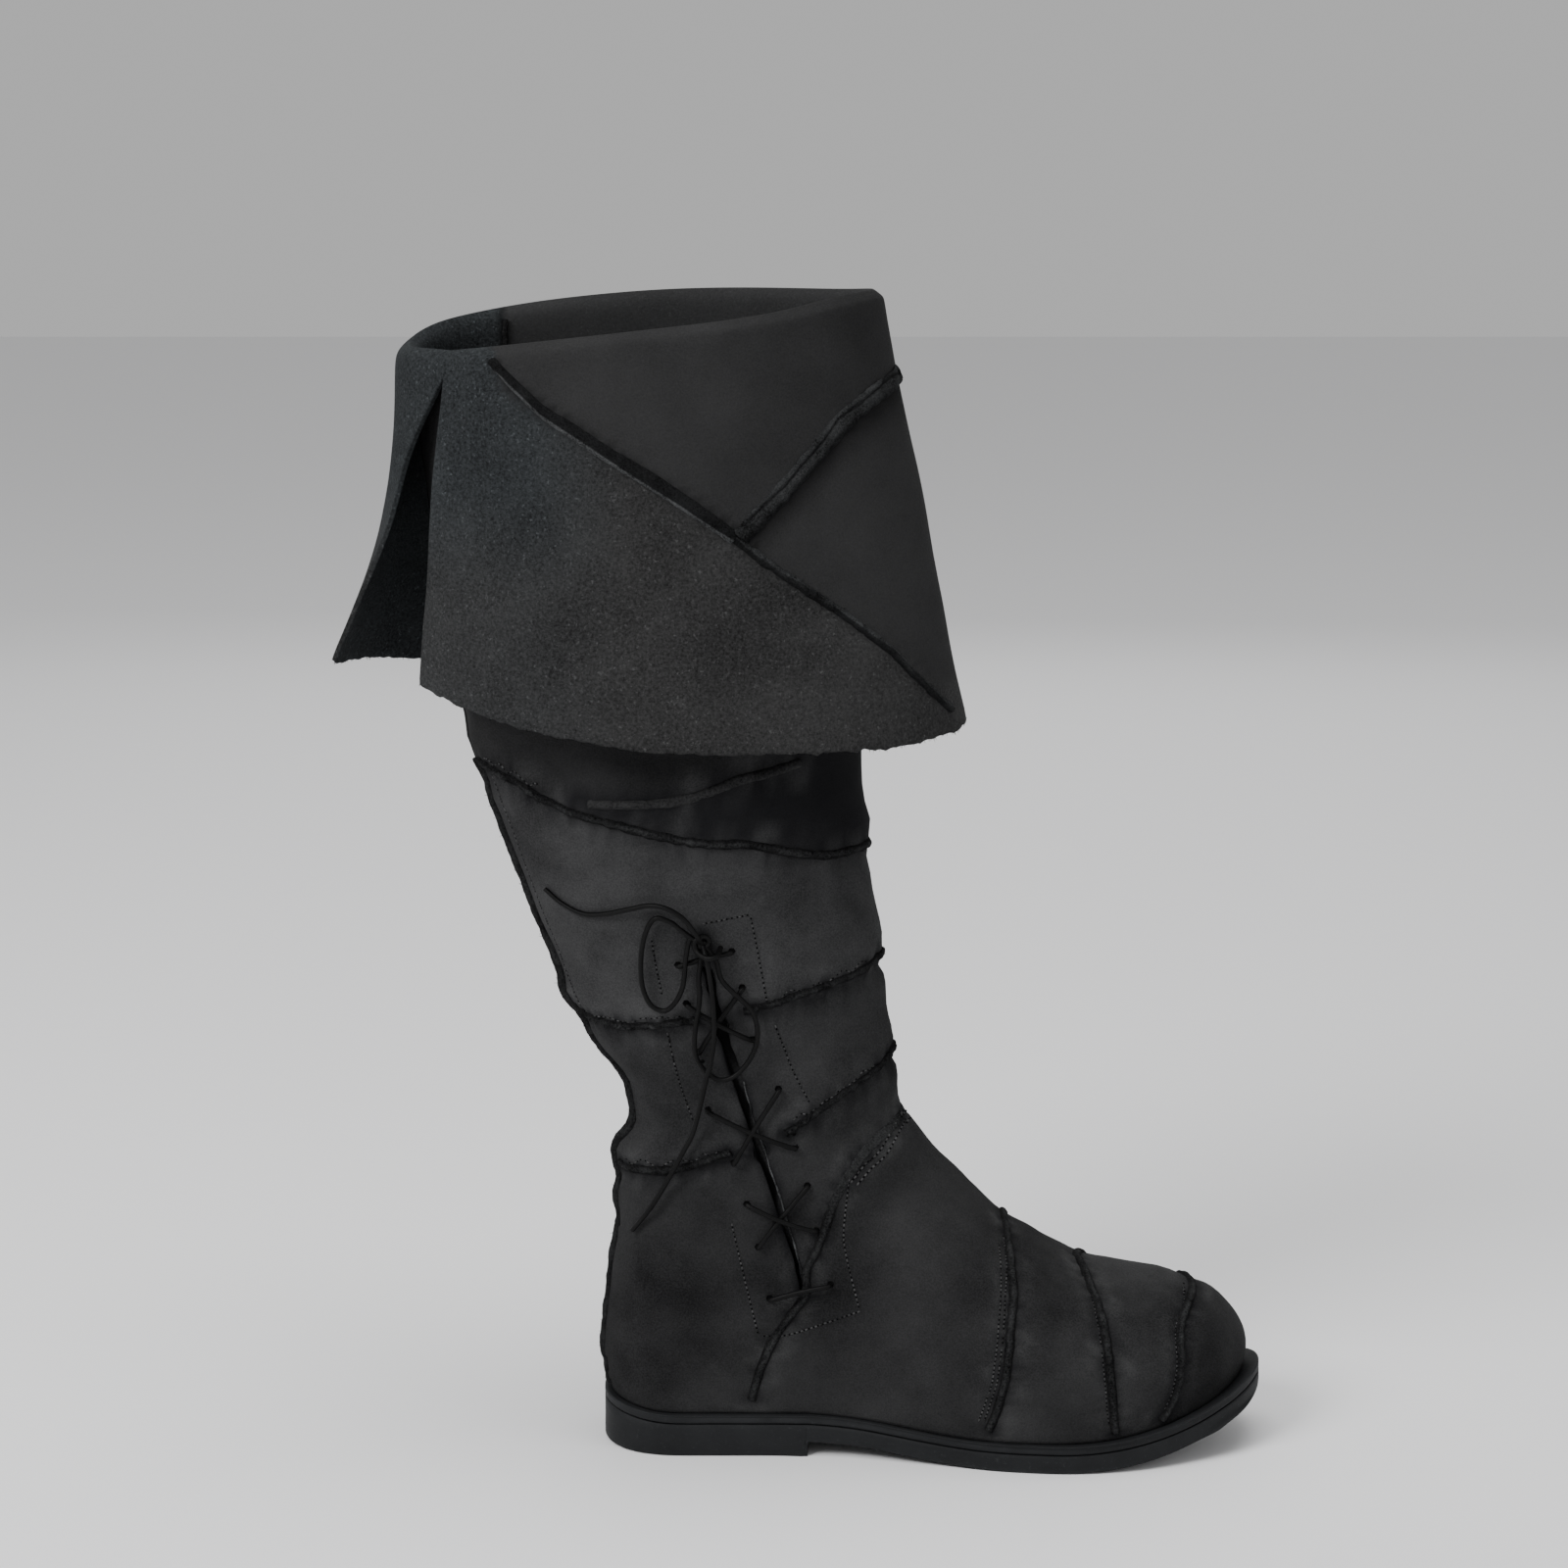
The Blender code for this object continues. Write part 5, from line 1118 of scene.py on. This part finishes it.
def stitchRow(name, pitch, longness, thick, rows, skin, sink=0.25):
    # one thread per step, its ends drawn into the leather
    threads = []
    for row in rows:
        line = smoothLine([(x * mm, 0, z * mm) for x, z in row], 200)
        spots = [onOuterSide(p.x, p.z, 0.0, skin) for p in line]
        spots = [s for s in spots if s[0] is not None and s[1].y < -0.3]
        if len(spots) < 2:
            continue
        travelled = np.cumsum([0] + [(b[0] - a[0]).length for a, b in zip(spots, spots[1:])])
        for start in np.arange(0, travelled[-1] - pitch * mm, pitch * mm):
            ends = []
            for where in (start, start + longness * mm):
                k = int(np.searchsorted(travelled, where))
                ends.append(spots[min(k, len(spots) - 1)])
            threads.append((ends[0], ends[1]))
    shape = bmesh.new()
    for (start, startUp), (end, endUp) in threads:
        run = end - start
        if run.length < 0.2 * mm:
            continue
        up = (startUp + endUp).normalized()
        across = run.cross(up).normalized()
        rings = []
        for t, lift, wide in ((0.0, -sink, 0.6), (0.25, 0.05, 1.0), (0.75, 0.05, 1.0), (1.0, -sink, 0.6)):
            middle = start + run * t + up * lift * mm
            ring = []
            for k in range(5):
                turn = 2 * math.pi * k / 5
                ring.append(shape.verts.new(middle + (across * math.cos(turn) + up * math.sin(turn)) * thick / 2 * wide * mm))
            rings.append(ring)
        for lower, higher in zip(rings, rings[1:]):
            for k in range(5):
                shape.faces.new((lower[k], lower[(k + 1) % 5], higher[(k + 1) % 5], higher[k]))
        shape.faces.new(rings[0][::-1])
        shape.faces.new(rings[-1])
    bmesh.ops.recalc_face_normals(shape, faces=shape.faces)
    mesh = bpy.data.meshes.new(name)
    shape.to_mesh(mesh)
    shape.free()
    mesh.polygons.foreach_set("use_smooth", [True] * len(mesh.polygons))
    piece = bpy.data.objects.new(name, mesh)
    bpy.context.scene.collection.objects.link(piece)
    finishPiece(piece, [stitchThread])
    gap = (pitch - longness) / 2
    return [(end + (end - start).normalized() * gap * mm, up) for (start, up), (end, _) in threads]


def punchHoles(name, spots, radius):
    # small dark holes, laid flat on the leather, as painted shade inside the stitch and lace holes
    shape = bmesh.new()
    for middle, up in spots:
        aside = up.cross(Vector((0, 0, 1))).normalized()
        over = aside.cross(up)
        ring = [shape.verts.new(middle + up * 0.12 * mm + (aside * math.cos(t) + over * math.sin(t)) * radius * mm)
                for t in np.linspace(0, 2 * math.pi, 7)[:-1]]
        shape.faces.new(ring)
        peak = shape.verts.new(middle - up * 0.5 * mm)
        for k in range(6):
            shape.faces.new((ring[(k + 1) % 6], ring[k], peak))
    bmesh.ops.recalc_face_normals(shape, faces=shape.faces)
    mesh = bpy.data.meshes.new(name)
    shape.to_mesh(mesh)
    shape.free()
    piece = bpy.data.objects.new(name, mesh)
    bpy.context.scene.collection.objects.link(piece)
    return finishPiece(piece, [paintedShadeLeather])


def laceHoles():
    # where each bar comes out of the leather and goes in again
    ends = []
    for bars in laceBars.values():
        for share0, up0, share1, up1, lift in bars:
            for share, up in ((share0, up0), (share1, up1)):
                x = (footPlace["heel"] + share * footPlace["length"]) * mm
                z = (footPlace["ankle"] + up * footPlace["climb"]) * mm
                ends.append(onOuterSide(x, z, 0.0, dressedSkin))
    return [e for e in ends if e[0] is not None]


for rowName, (pitch, longness, thick, rows) in stitching.items():
    punchHoles(rowName + "Holes", stitchRow(rowName, pitch, longness, thick, rows, dressedSkin), thick * 0.56)
punchHoles("spareHoles", [onOuterSide(x * mm, z * mm, 0.0, dressedSkin) for x, z in spareHoles], 1.0)
punchHoles("laceHoles", laceHoles(), 1.7)
print("stitches sewn")


# the pale cut edge of the slit, the seam inside the rim, and fibres that stand off the raw edges

def makeSlitEdge():
    spots = []
    for z in np.linspace(0.084, 0.176, 24):
        x = float(np.interp(z, slitZ, slitX))
        while sideHit(x, z, dressedSkin) is None and x < 0.12:
            x += 0.25 * mm
        hit = sideHit(x + 0.3 * mm, z, dressedSkin)
        if hit:
            spots.append(hit - Vector((0.2 * mm, 0.1 * mm, 0)))
    tube = cordTube("slitEdge", smoothLine(spots, 80), 0.75 * mm, 3)
    pickOnly(tube)
    bpy.ops.object.convert(target="MESH")
    points = pointsOf(tube.data)
    movePoints(tube.data, points + normalsOf(tube.data) * (noiseAt(points, 260.0, 3.0) * 0.35 * mm)[:, None])
    finishPiece(tube, [cuffEdge])
    paintMask(tube, "wearAndPaintedLight", np.clip(0.55 + noiseAt(points, 120.0, 1.0), 0, 1))


def farWall(x, z, skin):
    hit = skin.ray_cast(Vector((x, 0.0, z)), Vector((0, 1, 0)))[0]
    return hit


def makeRimSeam():
    # a raised seam down the inside of the rim
    spots = [farWall(-79 * mm, z * mm, dressedCuff) for z in np.linspace(506, 486, 9)]
    spots = [spot - Vector((0, 0.6 * mm, 0)) for spot in spots if spot]
    if len(spots) > 3:
        tube = cordTube("rimSeam", smoothLine(spots, 24), 2.6 * mm)
        pickOnly(tube)
        bpy.ops.object.convert(target="MESH")
        points = pointsOf(tube.data)
        movePoints(tube.data, points + normalsOf(tube.data) * (noiseAt(points, 320.0, 3.0) * 0.5 * mm)[:, None])
        finishPiece(tube, [rawSeam])


backFold = {
    # place off the middle and thickness in mm of the two raw edges that stand along the outer side of the back seam
    "edges": [(-11.0, 3.8), (-15.4, 3.5)], "low": 22, "high": 317, "ragged": 0.42,
    "closer": ([22, 150, 220, 317], [0.62, 0.66, 1.0, 1.12]),  # how the place changes up the leg
}


def makeBackFold():
    edges = []
    for aside, thick in backFold["edges"]:
        spots = []
        for z in np.linspace(backFold["low"], backFold["high"], 60):
            y = aside * float(np.interp(z, *backFold["closer"])) * mm
            hit = dressedSkin.ray_cast(Vector((-0.3, y, z * mm)), Vector((1, 0, 0)))[0]
            if hit:
                spots.append(hit)
        edges.append(cordTube("backFold", smoothLine(spots, 260), thick * mm, 3))
    pickOnly(*edges)
    bpy.ops.object.convert(target="MESH")
    bpy.ops.object.join()
    fold = bpy.context.view_layer.objects.active
    points = pointsOf(fold.data)
    shove = noiseAt(points, 190.0, 1.0) * 0.7 + noiseAt(points, 520.0, 4.0) * 0.7
    movePoints(fold.data, points + normalsOf(fold.data) * (shove * backFold["ragged"] * mm)[:, None])
    bpy.ops.object.shade_smooth()
    paintMask(fold, "wearAndPaintedLight", np.clip(0.12 + shove * 0.3, 0, 1))
    fold.name = "backFold"
    finishPiece(fold, [rawSeam])


fringe = {
    # pieces with a raw edge, how many fibres, and their length in mm
    "seam_calf_edge": (170, 1.9), "seam_ankle_back_edge": (150, 3.0), "seam_ankle_front_edge": (60, 1.5),
    "seam_heel_back_edge": (50, 1.6), "seam_back_edge": (90, 1.4), "backFold": (170, 1.5), "cuff_rolled_seam_edge": (60, 1.3),
    "cuff_frayed_seam_edge": (140, 1.4), "cuff_flap_seam_edge": (60, 1.0), "leatherCuff": (700, 1.3),
}


def makeFibres():
    chance = np.random.default_rng(11)
    shape = bmesh.new()
    for name, (count, longest) in fringe.items():
        mesh = bpy.data.objects[name].data
        points, normals = pointsOf(mesh), normalsOf(mesh)
        if name == "leatherCuff":
            low = points[:, 2] < lowestRim(points) + 1.6 * mm
            points, normals = points[low], normals[low] * 0.5 + np.array([0, 0, -0.9])
        for k in chance.integers(0, len(points), count):
            start = Vector(points[k])
            way = (Vector(normals[k]) + Vector(chance.normal(0, 0.45, 3))).normalized()
            bend = Vector(chance.normal(0, 0.5, 3))
            size = longest * mm * (0.4 + 0.8 * chance.random())
            aside = way.orthogonal().normalized() * 0.11 * mm
            over = way.cross(aside)
            middle = start + way * size * 0.5
            tip = shape.verts.new(start + way * size + bend * size * 0.35)
            rings = []
            for spot, thin in ((start - way * 0.3 * mm, 1.0), (middle, 0.8)):
                rings.append([shape.verts.new(spot + (aside * math.cos(t) + over * math.sin(t)) * thin)
                              for t in (0.0, 2.1, 4.2)])
            for j in range(3):
                shape.faces.new((rings[0][j], rings[0][(j + 1) % 3], rings[1][(j + 1) % 3], rings[1][j]))
                shape.faces.new((rings[1][j], rings[1][(j + 1) % 3], tip))
            shape.faces.new(rings[0][::-1])
    bmesh.ops.recalc_face_normals(shape, faces=shape.faces)
    mesh = bpy.data.meshes.new("looseFibres")
    shape.to_mesh(mesh)
    shape.free()
    piece = bpy.data.objects.new("looseFibres", mesh)
    bpy.context.scene.collection.objects.link(piece)
    finishPiece(piece, [rawSeam])
    print("fibres teased out,", len(mesh.polygons), "faces")


makeSlitEdge()
makeRimSeam()
makeBackFold()
makeFibres()


# floor, soft light and the pale room

room = {"floor": (0.86, 0.86, 0.87), "sky": (1.0, 1.0, 1.0), "skyStrength": 0.5}


def makeFloor():
    bpy.ops.mesh.primitive_plane_add(size=14, location=(0, 0, 0))
    floor = bpy.context.object
    floor.name = "studioFloor"
    material = bpy.data.materials.new("paleFloor")
    material.use_nodes = True
    tree = material.node_tree
    shader = tree.nodes["Principled BSDF"]
    grain = noiseNode(tree, addNode(tree, "ShaderNodeTexCoord").outputs["Object"], 40.0, 3.0)
    colour = mixNode(tree, grain.outputs["Fac"], tuple(c * 0.99 for c in room["floor"]), room["floor"])
    link(tree, colour, shader.inputs["Base Color"])
    shader.inputs["Roughness"].default_value = 0.8
    shader.inputs["Specular IOR Level"].default_value = 0.2
    floor.data.materials.append(material)


def makeLight(name, place, aim, size, watts):
    bpy.ops.object.light_add(type="AREA", location=place)
    lamp = bpy.context.object
    lamp.name = name
    lamp.data.shape = "RECTANGLE"
    lamp.data.size, lamp.data.size_y = size
    lamp.data.energy = watts
    lamp.rotation_euler = (Vector(aim) - Vector(place)).to_track_quat("-Z", "Y").to_euler()


makeFloor()
makeLight("softKey", (-1.5, -1.5, 1.9), (0.0, 0.0, 0.25), (1.1, 1.1), 62)
makeLight("softTop", (0.1, -0.2, 2.4), (0.05, 0.0, 0.2), (1.8, 1.4), 30)
makeLight("softSide", (1.9, -1.2, 1.0), (0.1, 0.0, 0.2), (1.2, 1.4), 7)
makeLight("softFar", (0.2, 2.2, 1.1), (0.05, 0.0, 0.2), (1.6, 1.2), 6)
world = bpy.data.worlds.new("paleRoom")
bpy.context.scene.world = world
world.use_nodes = True
world.node_tree.nodes["Background"].inputs["Color"].default_value = (*room["sky"], 1.0)
world.node_tree.nodes["Background"].inputs["Strength"].default_value = room["skyStrength"]

bpy.context.view_layer.update()
